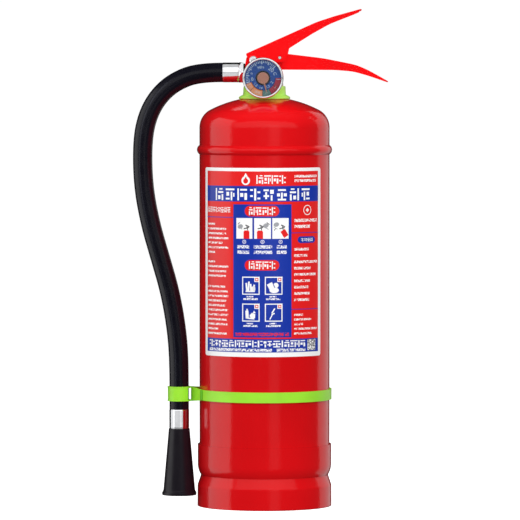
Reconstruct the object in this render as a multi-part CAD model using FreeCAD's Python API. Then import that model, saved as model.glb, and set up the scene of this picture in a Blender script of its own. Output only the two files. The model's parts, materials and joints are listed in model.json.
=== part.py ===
"""Fire extinguisher, stored-pressure dry powder type, 4 kg class.

Frame: the origin is the centre of the base on the floor, +Z runs up the cylinder axis, the pressure
gauge faces -Y, the hose leaves towards -X and the handles point to +X. All sizes are in millimetres.
"""
import FreeCAD
import Part
import math
import os

V = FreeCAD.Vector
UP = V(0, 0, 1)
FORWARD = V(0, -1, 0)
SIDEWAYS = V(0, 1, 0)
TO_HOSE = V(-1, 0, 0)

# Cylinder
BODY_R = 65.0
BODY_WALL = 1.2
TUBE_BOTTOM_Z = 43.0
TUBE_LENGTH = 313.4
SHOULDER_Z = TUBE_BOTTOM_Z + TUBE_LENGTH
DOME_RIM = 22.1
DOME_START_Z = SHOULDER_Z + DOME_RIM
CROWN_R = 118.0
KNUCKLE_R = 20.0
BEAD_HEIGHT = 9.2
BEAD_PROUD = 2.5
CAP_WALL = 1.8
CAP_TOP_Z = 62.0
CAP_TANGENT_Z = 42.0
FOOT_R = BODY_R + 2.0
FOOT_WALL = 1.5
FOOT_STRAIGHT_TOP = 21.0
FOOT_WELD_Z = 31.5

# Neck and collar
NECK_R = 19.2
NECK_DEPTH = 11.0
NECK_STAND = 11.63
CROWN_CENTRE_Z = DOME_START_Z - math.sqrt((CROWN_R - KNUCKLE_R) ** 2 - (BODY_R - KNUCKLE_R) ** 2)
NECK_TOP_Z = CROWN_CENTRE_Z + math.sqrt(CROWN_R ** 2 - NECK_R ** 2) + NECK_STAND
COLLAR_WALL = 1.6
COLLAR_R = NECK_R + COLLAR_WALL + 0.1
COLLAR_FLANGE_R = COLLAR_R + 5.0
COLLAR_TOP_Z = NECK_TOP_Z + 0.3

STEM_R = 3.0

# Valve, with its heights counted from the neck's mouth
THREAD_R = 15.0
THREAD_LENGTH = 22.5
VALVE_FLANGE_R = NECK_R - 0.5
VALVE_FLANGE = 3.5
BARREL_R = 13.0
BARREL_TOP_Z = NECK_TOP_Z + 14.5
HEAD_HALF_WIDTH = 9.4
HEAD_TOP_Z = NECK_TOP_Z + 30.0
HEAD_END_X = 9.5
OUTLET_Z = NECK_TOP_Z + 14.0
OUTLET_BOSS_R = 8.8
OUTLET_FACE_X = -(VALVE_FLANGE_R + 1.8)
OUTLET_PORT_R = 4.0
OUTLET_THREAD_R = 6.5
OUTLET_THREAD_LENGTH = 7.5
CHAMBER_R = 8.5
SEAT_Z = NECK_TOP_Z + 5.5
SEAT_BORE_R = STEM_R + 2.0
SEAT_BORE_TOP_Z = NECK_TOP_Z + 21.5

# Stem and spring
STEM_TIP_GAP = 0.3
PISTON_R = SEAT_BORE_R + 2.0
PISTON_THICKNESS = 3.5
SEAL_THICKNESS = 1.9
SEAL_GAP = 0.1
SPIGOT_R = STEM_R + 0.5
SPIGOT_LENGTH = 5.5
GLAND_THREAD_R = STEM_R + 1.8
GLAND_DEPTH = 6.5
GLAND_HEAD = 2.5
GLAND_ACROSS_FLATS = 2 * GLAND_THREAD_R + 1.4
SPRING_WIRE_R = 0.7
SPRING_R = SPIGOT_R + SPRING_WIRE_R + 1.2
SPRING_TURNS = 5.0
ADAPTOR_TOP_Z = NECK_TOP_Z - 15.5
SIPHON_R = 8.0
SIPHON_WALL = 1.5
SIPHON_BOTTOM_Z = 24.0
SIPHON_OVERLAP = 12.0
POWDER_DEPTH = 273.0
POWDER_TOP_Z = TUBE_BOTTOM_Z + POWDER_DEPTH

# Handles, with their heights counted from the neck's mouth
PIVOT_X = -11.2
PIVOT_Z = NECK_TOP_Z + 26.5
PIVOT_R = 2.5
SHEET = 2.0
LEVER_SIDE_GAP = 0.4
LEVER_TRAVEL_DEG = 16.0
PIN_X = 15.2
PIN_Z = NECK_TOP_Z + 28.7
PIN_R = 1.75
PIN_EYE_R = 5.5
PIN_WIRE_R = 1.1
PIN_REACH = 4.7
PULL_RING_R = 12.0
SCREW_X = 4.5
SCREW_Z = NECK_TOP_Z + 21.5
SCREW_R = 2.0
SCREW_HEAD_R = 3.6
SCREW_DEPTH = 3.6
WEB_START_X = 18.5
TONGUE_SHEET = 0.8
TONGUE_DEPTH = 9.4
# top of the lever: left end, grip start, grip middle, tip
LEVER_TOP = [(-18.7, NECK_TOP_Z + 32.7), (51.9, NECK_TOP_Z + 64.3), (71.0, NECK_TOP_Z + 70.5),
             (97.3, NECK_TOP_Z + 77.7)]
LEVER_TOP_RADII = [0.0, 90.0, 160.0, 0.0]
# underside of the carrying handle: valve end, grip start, grip bend, tip
HANDLE_BASE = [(-19.0, NECK_TOP_Z + 17.0), (70.3, NECK_TOP_Z + 16.4), (88.5, NECK_TOP_Z + 14.9),
               (104.0, NECK_TOP_Z + 10.5), (123.0, NECK_TOP_Z + 4.0)]
HANDLE_BASE_RADII = [0.0, 120.0, 60.0, 120.0, 0.0]
# top edge of the carrying handle from the tip to its ear, as (x, height above the neck, corner radius)
HANDLE_EDGE = [(123.4, 5.2, 0.5), (104.7, 15.7, 90), (92.0, 21.5, 60), (58.8, 28.2, 200)]
# lower edge of the lever from the tip to its pivot ear, the same way
LEVER_EDGE = [(96.4, 75.0, 0.9), (91.0, 72.4, 20), (64.6, 62.0, 80), (47.3, 52.3, 50), (24.6, 38.0, 1.2),
              (23.5, 32.5, 4), (20.6, 24.2, 4.5), (9.0, 24.2, 6), (-6.0, 20.9, 6), (-14.0, 20.9, 2.0)]
TIP_PLAN_R = 8.0

# Pressure gauge, measured along its own axis from the back of its case
GAUGE_X = -1.5
GAUGE_Z = NECK_TOP_Z + 8.6
GAUGE_BACK_Y = -(COLLAR_FLANGE_R + 1.6)
GAUGE_BOSS_R = 8.0
GAUGE_BOSS_Y = -(VALVE_FLANGE_R + 0.3)
GAUGE_THREAD_R = 5.0
GAUGE_SOCKET_Y = -9.5
GAUGE_GASKET = 1.0
GAUGE_SHOULDER = GAUGE_BOSS_Y - GAUGE_BACK_Y - GAUGE_GASKET
CASE_R = 19.2
CASE_WALL = 1.2
CASE_DEPTH = 9.5
BEZEL_R = CASE_R + 1.2
BEZEL_LIP_R = CASE_R - 1.3
BEZEL_BACK = 5.0
BEZEL_FRONT = CASE_DEPTH + 3.5
LENS_THICKNESS = 1.5
DIAL_DEPTH = CASE_DEPTH - 1.5
DIAL_THICKNESS = 0.4
DIAL_HOLE_R = 7.2
POINTER_DISC_R = 5.7
POINTER_LENGTH = CASE_R - 5.0
POINTER_THICKNESS = 0.5
POINTER_SHAFT_R = 0.62
POINTER_ANGLE = 284.0
POST_R = 3.0
BOURDON_R = CASE_R - 8.2
BOURDON_TUBE_R = 1.2

# Hose, fittings and nozzle
HOSE_R = 9.7
HOSE_BORE_R = 6.0
HOSE_CRIMP_R = HOSE_R - 1.1
FERRULE_R = HOSE_R + 0.2
FERRULE_LIP = 1.5
COUPLING_HEX = 4.5
COUPLING_ACROSS_FLATS = 2 * FERRULE_R + 0.4
GASKET_THICKNESS = 0.6
TAIL_R = HOSE_BORE_R - 0.1
TAIL_BORE_R = 3.5
TAIL_LENGTH = 24.0
HOSE_POINTS = [(-41.8, 433.5), (-66.0, 433.5), (-90.0, 424.2), (-106.5, 409.3), (-117.0, 390.0),
               (-122.0, 365.0), (-121.4, 322.0), (-114.4, 283.0), (-103.6, 246.0), (-95.4, 217.5),
               (-89.8, 189.0), (-86.3, 160.0), (-85.4, 128.5), (-85.4, 96.5)]
LOWER_FERRULE_LENGTH = 19.0
NOZZLE_TOP_R = FERRULE_R + 0.5
NOZZLE_EXIT_R = 15.9
NOZZLE_LIP_R = 17.2
NOZZLE_BOTTOM_Z = 10.5
NOZZLE_LIP = 2.6
NOZZLE_WALL = 2.0
NOZZLE_THREAD_R = 6.5
NOZZLE_THREAD_LENGTH = 16.0
NOZZLE_THROAT_R = 4.0

# Strap and hose clip
STRAP_Z = 112.2
STRAP_HEIGHT = 10.4
STRAP_THICKNESS = 2.0
CLIP_HEIGHT = 14.7
CLIP_THICKNESS = 1.5
CLIP_JOIN_X = -(BODY_R + 8.6)
CLIP_WINDOW_HEIGHT = 11.6
KINK_X = -(BODY_R - 3.0)

# Label
LABEL_Z = (152.6, SHOULDER_Z - 16.9)
LABEL_HALF_ANGLE = 61.2
LABEL_TURN = -2.9
LABEL_THICKNESS = 0.2

# Clearances
RUNNING = 0.05
FITTED = 0.1
SLACK = 0.2


def corner(before, point, after, radius):
    """Start, middle and end of the tangent arc that rounds one corner."""
    back = (before - point).normalize()
    ahead = (after - point).normalize()
    half = back.getAngle(ahead) / 2
    reach = radius / math.tan(half)
    bisector = (back + ahead).normalize()
    return point + back * reach, point + bisector * (radius / math.sin(half) - radius), point + ahead * reach


def rounded_wire(points, radii, closed=True):
    """Straight runs through the points, joined by tangent arcs of the given radii."""
    count = len(points)
    stops = []
    for i, point in enumerate(points):
        if radii[i] > 0 and (closed or 0 < i < count - 1):
            stops.append(corner(points[i - 1], point, points[(i + 1) % count], radii[i]))
        else:
            stops.append((point, None, point))
    edges = []
    for i in range(count if closed else count - 1):
        start, middle, end = stops[i]
        if middle:
            edges.append(Part.Arc(start, middle, end).toShape())
        following = stops[(i + 1) % count][0]
        if (following - end).Length > 1e-6:
            edges.append(Part.LineSegment(end, following).toShape())
    return Part.Wire(edges)


def turned(outline, x=0.0):
    """Solid of revolution about a vertical axis, from (radius, z, corner radius) points."""
    wire = rounded_wire([V(x + r, 0, z) for r, z, c in outline], [c for r, z, c in outline])
    return Part.Face(wire).revolve(V(x, 0, 0), UP, 360)


def side_plate(outline, half_width):
    """Side view outline of (x, z, corner radius) points, extruded evenly to both sides of Y = 0."""
    wire = rounded_wire([V(x, -half_width, z) for x, z, c in outline], [c for x, z, c in outline])
    return Part.Face(wire).extrude(V(0, 2 * half_width, 0))


def plan_plate(outline, z0, z1):
    """Plan outline of (x, y, corner radius) points, extruded from z0 to z1."""
    wire = rounded_wire([V(x, y, z0) for x, y, c in outline], [c for x, y, c in outline])
    return Part.Face(wire).extrude(V(0, 0, z1 - z0))


def hexagon(across_flats, z0, z1):
    """Upright hexagonal prism about the Z axis, with flats facing +X and -X."""
    reach = across_flats / math.sqrt(3)
    outline = [(reach * math.cos(math.radians(60 * i + 30)), reach * math.sin(math.radians(60 * i + 30)), 0)
               for i in range(6)]
    return plan_plate(outline, z0, z1)


def placed(shape, axis, position):
    """The shape with its own +Z turned to the axis and its origin moved to the position."""
    moved = shape.copy()
    moved.Placement = FreeCAD.Placement(position, FreeCAD.Rotation(UP, axis)).multiply(shape.Placement)
    return moved


def rod(radius, start, end):
    """Round bar between two points."""
    return Part.makeCylinder(radius, (end - start).Length, start, end - start)


def offset_line(points, distance):
    """The open line of (x, z) points moved sideways, to its right when the distance is positive."""
    normals = []
    for (x0, z0), (x1, z1) in zip(points, points[1:]):
        length = math.hypot(x1 - x0, z1 - z0)
        normals.append(((z1 - z0) / length, -(x1 - x0) / length))
    moved = []
    for i, (x, z) in enumerate(points):
        nx0, nz0 = normals[max(i - 1, 0)]
        nx1, nz1 = normals[min(i, len(normals) - 1)]
        scale = distance / (1 + nx0 * nx1 + nz0 * nz1)
        moved.append((x + (nx0 + nx1) * scale, z + (nz0 + nz1) * scale))
    return moved


def dome_centre(radius, tangent_z):
    """Height of the crown's centre, for a pressed end whose curve starts at the tangent level."""
    return tangent_z - math.sqrt((CROWN_R - KNUCKLE_R) ** 2 - (radius - KNUCKLE_R) ** 2)


def dome_height(radius, tangent_z, r):
    """Height of a pressed end's outside at distance r from its axis, on its crown."""
    return dome_centre(radius, tangent_z) + math.sqrt(CROWN_R ** 2 - r ** 2)


def dome_edges(radius, base_z, tangent_z, hole_r, inward):
    """Section edges of a pressed end from its open rim to its hole, moved inward by a wall."""
    crown_z = dome_centre(radius, tangent_z)
    knuckle_x = radius - KNUCKLE_R
    angle = math.atan2(tangent_z - crown_z, knuckle_x)
    small = KNUCKLE_R - inward
    large = CROWN_R - inward
    rim = V(radius - inward, 0, base_z)
    start = V(radius - inward, 0, tangent_z)
    middle = V(knuckle_x + small * math.cos(angle / 2), 0, tangent_z + small * math.sin(angle / 2))
    join = V(large * math.cos(angle), 0, crown_z + large * math.sin(angle))
    last = math.acos(hole_r / large)
    between = (angle + last) / 2
    crown = V(large * math.cos(between), 0, crown_z + large * math.sin(between))
    end = V(hole_r, 0, crown_z + large * math.sin(last))
    return [Part.LineSegment(rim, start).toShape(), Part.Arc(start, middle, join).toShape(),
            Part.Arc(join, crown, end).toShape()], rim, end


def pressed_end(radius, base_z, tangent_z, hole_r, wall):
    """A dished end with a straight rim, open at the bottom, as a shell of the given wall."""
    outer, outer_rim, outer_end = dome_edges(radius, base_z, tangent_z, hole_r, 0)
    inner, inner_rim, inner_end = dome_edges(radius, base_z, tangent_z, hole_r, wall)
    closing = [Part.LineSegment(outer_end, inner_end).toShape(),
               Part.LineSegment(inner_rim, outer_rim).toShape()]
    face = Part.Face(Part.Wire(Part.__sortEdges__(outer + closing + inner)))
    return face.revolve(V(0, 0, 0), UP, 360)


def pressed_core(radius, base_z, tangent_z, inward):
    """The space inside a dished end, moved inward from its outside."""
    edges, rim, end = dome_edges(radius, base_z, tangent_z, 0, inward)
    closing = [Part.LineSegment(end, V(0, 0, base_z)).toShape(), Part.LineSegment(V(0, 0, base_z), rim).toShape()]
    face = Part.Face(Part.Wire(Part.__sortEdges__(edges + closing)))
    return face.revolve(V(0, 0, 0), UP, 360)


def upside_down(shape, z):
    """The shape turned over about the level z."""
    turned_over = shape.copy()
    turned_over.rotate(V(0, 0, z), V(1, 0, 0), 180)
    return turned_over


def body_tube():
    return turned([(BODY_R - BODY_WALL, TUBE_BOTTOM_Z, 0), (BODY_R, TUBE_BOTTOM_Z, 0),
                   (BODY_R, SHOULDER_Z, 0), (BODY_R - BODY_WALL, SHOULDER_Z, 0)])


def top_head():
    return pressed_end(BODY_R, SHOULDER_Z, DOME_START_Z, NECK_R, BODY_WALL)


def shoulder_bead():
    low = SHOULDER_Z - BEAD_HEIGHT / 2
    high = SHOULDER_Z + BEAD_HEIGHT / 2
    bulge = Part.Arc(V(BODY_R, 0, low), V(BODY_R + BEAD_PROUD, 0, SHOULDER_Z), V(BODY_R, 0, high)).toShape()
    back = Part.makeLine(V(BODY_R, 0, high), V(BODY_R, 0, low))
    return Part.Face(Part.Wire([bulge, back])).revolve(V(0, 0, 0), UP, 360)


def cap_radius():
    return BODY_R + CAP_WALL


def bottom_head():
    """The lower pressed end: its straight rim is a sleeve over the foot of the tube."""
    over = pressed_end(cap_radius(), 2 * CAP_TANGENT_Z - CAP_TOP_Z, CAP_TANGENT_Z, 0, CAP_WALL)
    return upside_down(over, CAP_TANGENT_Z)


def bottom_core(inward):
    rise = CAP_TOP_Z - CAP_TANGENT_Z
    return upside_down(pressed_core(cap_radius(), CAP_TANGENT_Z - rise, CAP_TANGENT_Z, inward), CAP_TANGENT_Z)


def foot_ring():
    """Steel skirt that carries the cylinder, tucked in at the top to meet the lower end."""
    inner = FOOT_R - FOOT_WALL
    ring = turned([(inner, 0, 0), (FOOT_R, 0, 0.7), (FOOT_R, FOOT_STRAIGHT_TOP, 8),
                   (FOOT_R - 4.5, FOOT_WELD_Z + 3, 0), (inner - 4.5, FOOT_WELD_Z + 3, 0),
                   (inner, FOOT_STRAIGHT_TOP, 6)])
    below = Part.makeBox(200, 200, FOOT_WELD_Z, V(-100, -100, 0))
    return ring.common(below).cut(bottom_core(0))


def neck_bore():
    return THREAD_R + RUNNING


def neck_ring():
    """Threaded steel boss welded into the dome, with a recess for the O-ring in its mouth."""
    low = dome_height(BODY_R, DOME_START_Z, NECK_R) - NECK_DEPTH
    boss = turned([(neck_bore(), low, 0), (NECK_R, low, 0), (NECK_R, NECK_TOP_Z, 0.5), (neck_bore(), NECK_TOP_Z, 0)])
    recess = turned([(neck_bore() - 1, NECK_TOP_Z - 2.2, 0), (neck_bore() + 2.3, NECK_TOP_Z - 2.2, 0),
                     (neck_bore() + 2.3, NECK_TOP_Z + 1, 0), (neck_bore() - 1, NECK_TOP_Z + 1, 0)])
    return boss.cut(recess)


def neck_o_ring():
    section = 1.05
    return Part.makeTorus(THREAD_R + SLACK + section, section, V(0, 0, NECK_TOP_Z - section - FITTED), UP)


def neck_collar():
    """Green plastic ring round the neck, with a flange that sits on the dome."""
    bore = NECK_R + FITTED
    inside_z = dome_height(BODY_R, DOME_START_Z, bore) + SLACK
    rim = COLLAR_FLANGE_R - 0.5
    rim_z = dome_height(BODY_R, DOME_START_Z, rim) + SLACK
    return turned([(bore, inside_z, 0), (rim, rim_z, 0.5), (COLLAR_FLANGE_R, rim_z + 2.0, 1.2),
                   (COLLAR_R + 0.5, rim_z + 4.4, 1.6), (COLLAR_R, COLLAR_TOP_Z, 0.8), (bore, COLLAR_TOP_Z, 0)])


def valve_bottom_z():
    return NECK_TOP_Z - THREAD_LENGTH


def valve_body():
    """Brass valve: neck thread and flange, barrel, head block, hose outlet and gauge boss."""
    low = valve_bottom_z()
    flange_top = NECK_TOP_Z + VALVE_FLANGE
    barrel = turned([(0, low, 0), (THREAD_R, low, 1.0), (THREAD_R, NECK_TOP_Z, 0), (VALVE_FLANGE_R, NECK_TOP_Z, 0.3),
                     (VALVE_FLANGE_R, flange_top, 0.8), (BARREL_R, flange_top, 0.8),
                     (BARREL_R, BARREL_TOP_Z, 1.0), (0, BARREL_TOP_Z, 0)])
    lug = PIVOT_R + 2.6
    head = side_plate([(PIVOT_X - lug, BARREL_TOP_Z - 3, 0), (HEAD_END_X, BARREL_TOP_Z - 3, 0),
                       (HEAD_END_X, HEAD_TOP_Z, 2), (PIVOT_X + lug * 0.9, HEAD_TOP_Z, 0),
                       (PIVOT_X + lug * 0.4, PIVOT_Z + lug, 0.5), (PIVOT_X - lug, PIVOT_Z + lug, lug * 0.9)],
                      HEAD_HALF_WIDTH)
    outlet = rod(OUTLET_BOSS_R, V(-6, 0, OUTLET_Z), V(OUTLET_FACE_X, 0, OUTLET_Z))
    gauge_boss = rod(GAUGE_BOSS_R, V(GAUGE_X, 0, GAUGE_Z), V(GAUGE_X, GAUGE_BOSS_Y, GAUGE_Z))
    body = barrel.multiFuse([head, outlet, gauge_boss])
    feed_y = GAUGE_SOCKET_Y + 2.1
    bores = [Part.makeCylinder(CHAMBER_R, SEAT_Z - low + 1, V(0, 0, low - 1)),
             Part.makeCylinder(SEAT_BORE_R, SEAT_BORE_TOP_Z - SEAT_Z + 1, V(0, 0, SEAT_Z - 1)),
             Part.makeCylinder(STEM_R + RUNNING, 40, V(0, 0, SEAT_BORE_TOP_Z - 1)),
             Part.makeCylinder(GLAND_THREAD_R + RUNNING, 20, V(0, 0, HEAD_TOP_Z - GLAND_DEPTH)),
             rod(OUTLET_PORT_R, V(0, 0, OUTLET_Z), V(OUTLET_FACE_X - 1, 0, OUTLET_Z)),
             rod(OUTLET_THREAD_R + RUNNING, V(OUTLET_FACE_X + OUTLET_THREAD_LENGTH + 1, 0, OUTLET_Z),
                 V(OUTLET_FACE_X - 1, 0, OUTLET_Z)),
             rod(GAUGE_THREAD_R + RUNNING, V(GAUGE_X, GAUGE_SOCKET_Y, GAUGE_Z), V(GAUGE_X, -40, GAUGE_Z)),
             rod(0.9, V(GAUGE_X, feed_y, GAUGE_Z), V(GAUGE_X, GAUGE_SOCKET_Y - 1, GAUGE_Z)),
             rod(0.9, V(GAUGE_X, feed_y, SEAT_Z - 1), V(GAUGE_X, feed_y, GAUGE_Z)),
             rod(PIVOT_R + RUNNING, V(PIVOT_X, -30, PIVOT_Z), V(PIVOT_X, 30, PIVOT_Z))]
    for side in (-1, 1):
        bores.append(rod(SCREW_R + RUNNING, V(SCREW_X, side * (HEAD_HALF_WIDTH - SCREW_DEPTH), SCREW_Z),
                         V(SCREW_X, side * 30, SCREW_Z)))
    return body.cut(bores)


def gland_nut():
    """Hollow nut in the top of the valve that guides the stem and holds its O-ring."""
    seal_top = HEAD_TOP_Z - GLAND_DEPTH + 2 * 0.85 + SLACK
    stud = Part.makeCylinder(GLAND_THREAD_R, HEAD_TOP_Z - seal_top, V(0, 0, seal_top))
    nut = stud.fuse(hexagon(GLAND_ACROSS_FLATS, HEAD_TOP_Z, HEAD_TOP_Z + GLAND_HEAD))
    return nut.cut(Part.makeCylinder(STEM_R + RUNNING, 40, V(0, 0, seal_top - 1)))


def stem_o_ring():
    section = 0.85
    return Part.makeTorus(STEM_R + RUNNING + section, section, V(0, 0, HEAD_TOP_Z - GLAND_DEPTH + section + 0.05), UP)


def web_height():
    """Distance from the lever's pivot to the underside of its web, square to the web."""
    (x0, z0), (x1, z1) = LEVER_TOP[0], LEVER_TOP[1]
    length = math.hypot(x1 - x0, z1 - z0)
    return ((PIVOT_X - x0) * (z1 - z0) - (PIVOT_Z - z0) * (x1 - x0)) / length - SHEET


def web_angle():
    (x0, z0), (x1, z1) = LEVER_TOP[0], LEVER_TOP[1]
    return math.atan2(z1 - z0, x1 - x0)


def tip_centre_z(angle, gap):
    """Height of the stem's round tip centre when the web lies at the angle."""
    return PIVOT_Z + (web_height() - STEM_R - gap) / math.cos(angle) - PIVOT_X * math.tan(angle)


def stem_travel():
    rest = tip_centre_z(web_angle(), 0)
    return rest - tip_centre_z(web_angle() - math.radians(LEVER_TRAVEL_DEG), 0)


def piston_top_z():
    return SEAT_Z - SEAL_GAP - SEAL_THICKNESS


def piston_bottom_z():
    return piston_top_z() - PISTON_THICKNESS


def valve_stem():
    """Push rod with a round tip, a piston that carries the seal, and a spigot inside the spring."""
    tip_z = tip_centre_z(web_angle(), STEM_TIP_GAP)
    low = piston_bottom_z()
    shaft = Part.makeCylinder(STEM_R, tip_z - low, V(0, 0, low))
    piston = Part.makeCylinder(PISTON_R, PISTON_THICKNESS, V(0, 0, low))
    spigot = Part.makeCylinder(SPIGOT_R, SPIGOT_LENGTH, V(0, 0, low - SPIGOT_LENGTH))
    return shaft.multiFuse([Part.makeSphere(STEM_R, V(0, 0, tip_z)), piston, spigot])


def piston_seal():
    seal = Part.makeCylinder(PISTON_R, SEAL_THICKNESS, V(0, 0, piston_top_z()))
    return seal.cut(Part.makeCylinder(STEM_R, 20, V(0, 0, piston_top_z() - 1)))


def return_spring():
    """Coil spring between the siphon adaptor and the piston."""
    low = ADAPTOR_TOP_Z + SPRING_WIRE_R + SEAL_GAP
    height = piston_bottom_z() - SPRING_WIRE_R - SEAL_GAP - low
    coil = Part.makeHelix(height / SPRING_TURNS, height, SPRING_R)
    section = Part.Wire([Part.makeCircle(SPRING_WIRE_R, V(SPRING_R, 0, 0), V(0, 1, 0))])
    spring = Part.Wire(coil.Edges).makePipeShell([section], True, True)
    spring.translate(V(0, 0, low))
    return spring


def siphon_adaptor():
    """Plastic bush pressed into the foot of the valve: seats the spring and holds the siphon tube."""
    low = valve_bottom_z()
    fit = SIPHON_R - SIPHON_WALL - FITTED
    return turned([(SPIGOT_R + 0.5, low - SIPHON_OVERLAP, 0), (fit, low - SIPHON_OVERLAP, 0.5), (fit, low, 0),
                   (CHAMBER_R - FITTED, low, 0), (CHAMBER_R - FITTED, ADAPTOR_TOP_Z, 0.5),
                   (SPIGOT_R + 0.5, ADAPTOR_TOP_Z, 0)])


def siphon_tube():
    inner = SIPHON_R - SIPHON_WALL
    top = valve_bottom_z() - FITTED
    return turned([(inner, SIPHON_BOTTOM_Z, 0), (SIPHON_R, SIPHON_BOTTOM_Z, 0), (SIPHON_R, top, 0), (inner, top, 0)])


def powder_charge():
    """Packed powder: fills the cylinder to its level, round the siphon tube."""
    straight = Part.makeCylinder(BODY_R - BODY_WALL - SLACK, POWDER_TOP_Z - TUBE_BOTTOM_Z - 1, V(0, 0, TUBE_BOTTOM_Z + 1))
    dish = bottom_core(CAP_WALL + BODY_WALL + SLACK)
    dish = dish.common(Part.makeBox(200, 200, TUBE_BOTTOM_Z + 2, V(-100, -100, 0)))
    return straight.fuse(dish).cut(Part.makeCylinder(SIPHON_R + SLACK, 600, V(0, 0, -50)))


def channel_cut(line, radii, left_x, right_x, far_z, half_width):
    """Space inside a pressed channel: everything beyond the inside of its web."""
    run_in = (left_x, line[0][1] + (left_x - line[0][0]) * (line[1][1] - line[0][1]) / (line[1][0] - line[0][0]))
    (x0, z0), (x1, z1) = line[-2], line[-1]
    run_out = (right_x, z1 + (right_x - x1) * (z1 - z0) / (x1 - x0))
    inner = [(x, z, r) for (x, z), r in zip(line[1:-1], radii[1:-1])]
    outline = [run_in + (0,)] + inner + [run_out + (0,), (right_x, far_z, 0), (left_x, far_z, 0)]
    return side_plate(outline, half_width)


def handle_half_width():
    return HEAD_HALF_WIDTH + SHEET


def lever_half_width():
    return handle_half_width() + LEVER_SIDE_GAP + SHEET


def rounded_plan(left, right, half_width):
    """Plan outline with a rounded right-hand end, full height, to trim a handle's tip."""
    outline = [(left, -half_width - 1, 0), (right, -half_width, TIP_PLAN_R), (right, half_width, TIP_PLAN_R),
               (left, half_width + 1, 0)]
    return plan_plate(outline, NECK_TOP_Z - 40, NECK_TOP_Z + 120)


def pin_slot():
    """Arc slot that the safety pin sweeps when the lever is pressed."""
    reach = math.hypot(PIN_X - PIVOT_X, PIN_Z - PIVOT_Z)
    half = PIN_R + 3 * RUNNING
    start = math.degrees(math.atan2(PIN_Z - PIVOT_Z, PIN_X - PIVOT_X))
    centre = V(PIVOT_X, -30, PIVOT_Z)
    band = Part.makeCylinder(reach + half, 60, centre, SIDEWAYS).cut(
        Part.makeCylinder(reach - half, 60, centre, SIDEWAYS))
    corners = [V(PIVOT_X, -30, PIVOT_Z)]
    for degrees in (start, start - LEVER_TRAVEL_DEG):
        corners.append(V(PIVOT_X + 60 * math.cos(math.radians(degrees)), -30,
                         PIVOT_Z + 60 * math.sin(math.radians(degrees))))
    sector = Part.Face(Part.makePolygon(corners + [corners[0]])).extrude(V(0, 60, 0))
    slot = band.common(sector)
    for degrees in (start, start - LEVER_TRAVEL_DEG):
        x = PIVOT_X + reach * math.cos(math.radians(degrees))
        z = PIVOT_Z + reach * math.sin(math.radians(degrees))
        slot = slot.fuse(rod(half, V(x, -30, z), V(x, 30, z)))
    return slot


def carrying_handle():
    """Pressed steel channel, open at the top, whose cheeks clasp the valve's head."""
    half = handle_half_width()
    outline = [(x, z, r) for (x, z), r in zip(HANDLE_BASE[:-1], HANDLE_BASE_RADII[:-1])]
    outline[0] = (HANDLE_BASE[0][0], HANDLE_BASE[0][1], 1.5)
    outline += [HANDLE_BASE[-1] + (0.6,)] + [(x, NECK_TOP_Z + rise, r) for x, rise, r in HANDLE_EDGE]
    ear = web_height() - 0.82
    outline += [(PIN_X + 8.6, PIVOT_Z + ear, 4)]
    outline += [(PIVOT_X - ear - 0.3, PIVOT_Z + ear, ear), (HANDLE_BASE[0][0], PIVOT_Z - 2.6, 1.5)]
    blank = side_plate(outline, half)
    inside = offset_line(HANDLE_BASE, -SHEET)
    radii = [r + SHEET for r in HANDLE_BASE_RADII]
    channel = channel_cut(inside, radii, -40, 140, NECK_TOP_Z + 60, HEAD_HALF_WIDTH)
    opening = Part.makeBox(WEB_START_X + 40, 2 * HEAD_HALF_WIDTH, 60, V(-40, -HEAD_HALF_WIDTH, NECK_TOP_Z))
    handle = blank.cut([channel, opening]).common(rounded_plan(-40, HANDLE_BASE[-1][0] + 0.4, half))
    holes = [rod(PIVOT_R + RUNNING, V(PIVOT_X, -30, PIVOT_Z), V(PIVOT_X, 30, PIVOT_Z)), pin_slot()]
    for side in (-1, 1):
        holes.append(screw(side, SCREW_R + RUNNING, RUNNING))
    return handle.cut(holes)


def screw(side, radius, gap):
    """Countersunk screw through one cheek into the valve, its head flush with the cheek."""
    outer = handle_half_width()
    tip = HEAD_HALF_WIDTH - SCREW_DEPTH + 0.3
    profile = [(0, tip, 0), (radius, tip, 0), (radius, outer - (SCREW_HEAD_R - SCREW_R), 0),
               (SCREW_HEAD_R + gap, outer, 0), (0, outer, 0)]
    return placed(turned(profile), V(0, side, 0), V(SCREW_X, 0, SCREW_Z))


def handle_screws():
    return Part.makeCompound([screw(side, SCREW_R, 0) for side in (-1, 1)])


def lever_tongue(blank):
    """Thin tongue inside the handle's front cheek, which keeps the lever centred and shuts the pin's slot."""
    start = HEAD_END_X + 3.3
    width = WEB_START_X - 0.2 - start
    side = V(start, -HEAD_HALF_WIDTH + 2 * FITTED, PIN_Z - TONGUE_DEPTH)
    plate = Part.makeBox(width, TONGUE_SHEET, 2 * TONGUE_DEPTH, side)
    root = Part.makeBox(width, TONGUE_SHEET, 60, side + V(0, 0, TONGUE_DEPTH)).common(blank)
    return plate.fuse(root)


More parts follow.
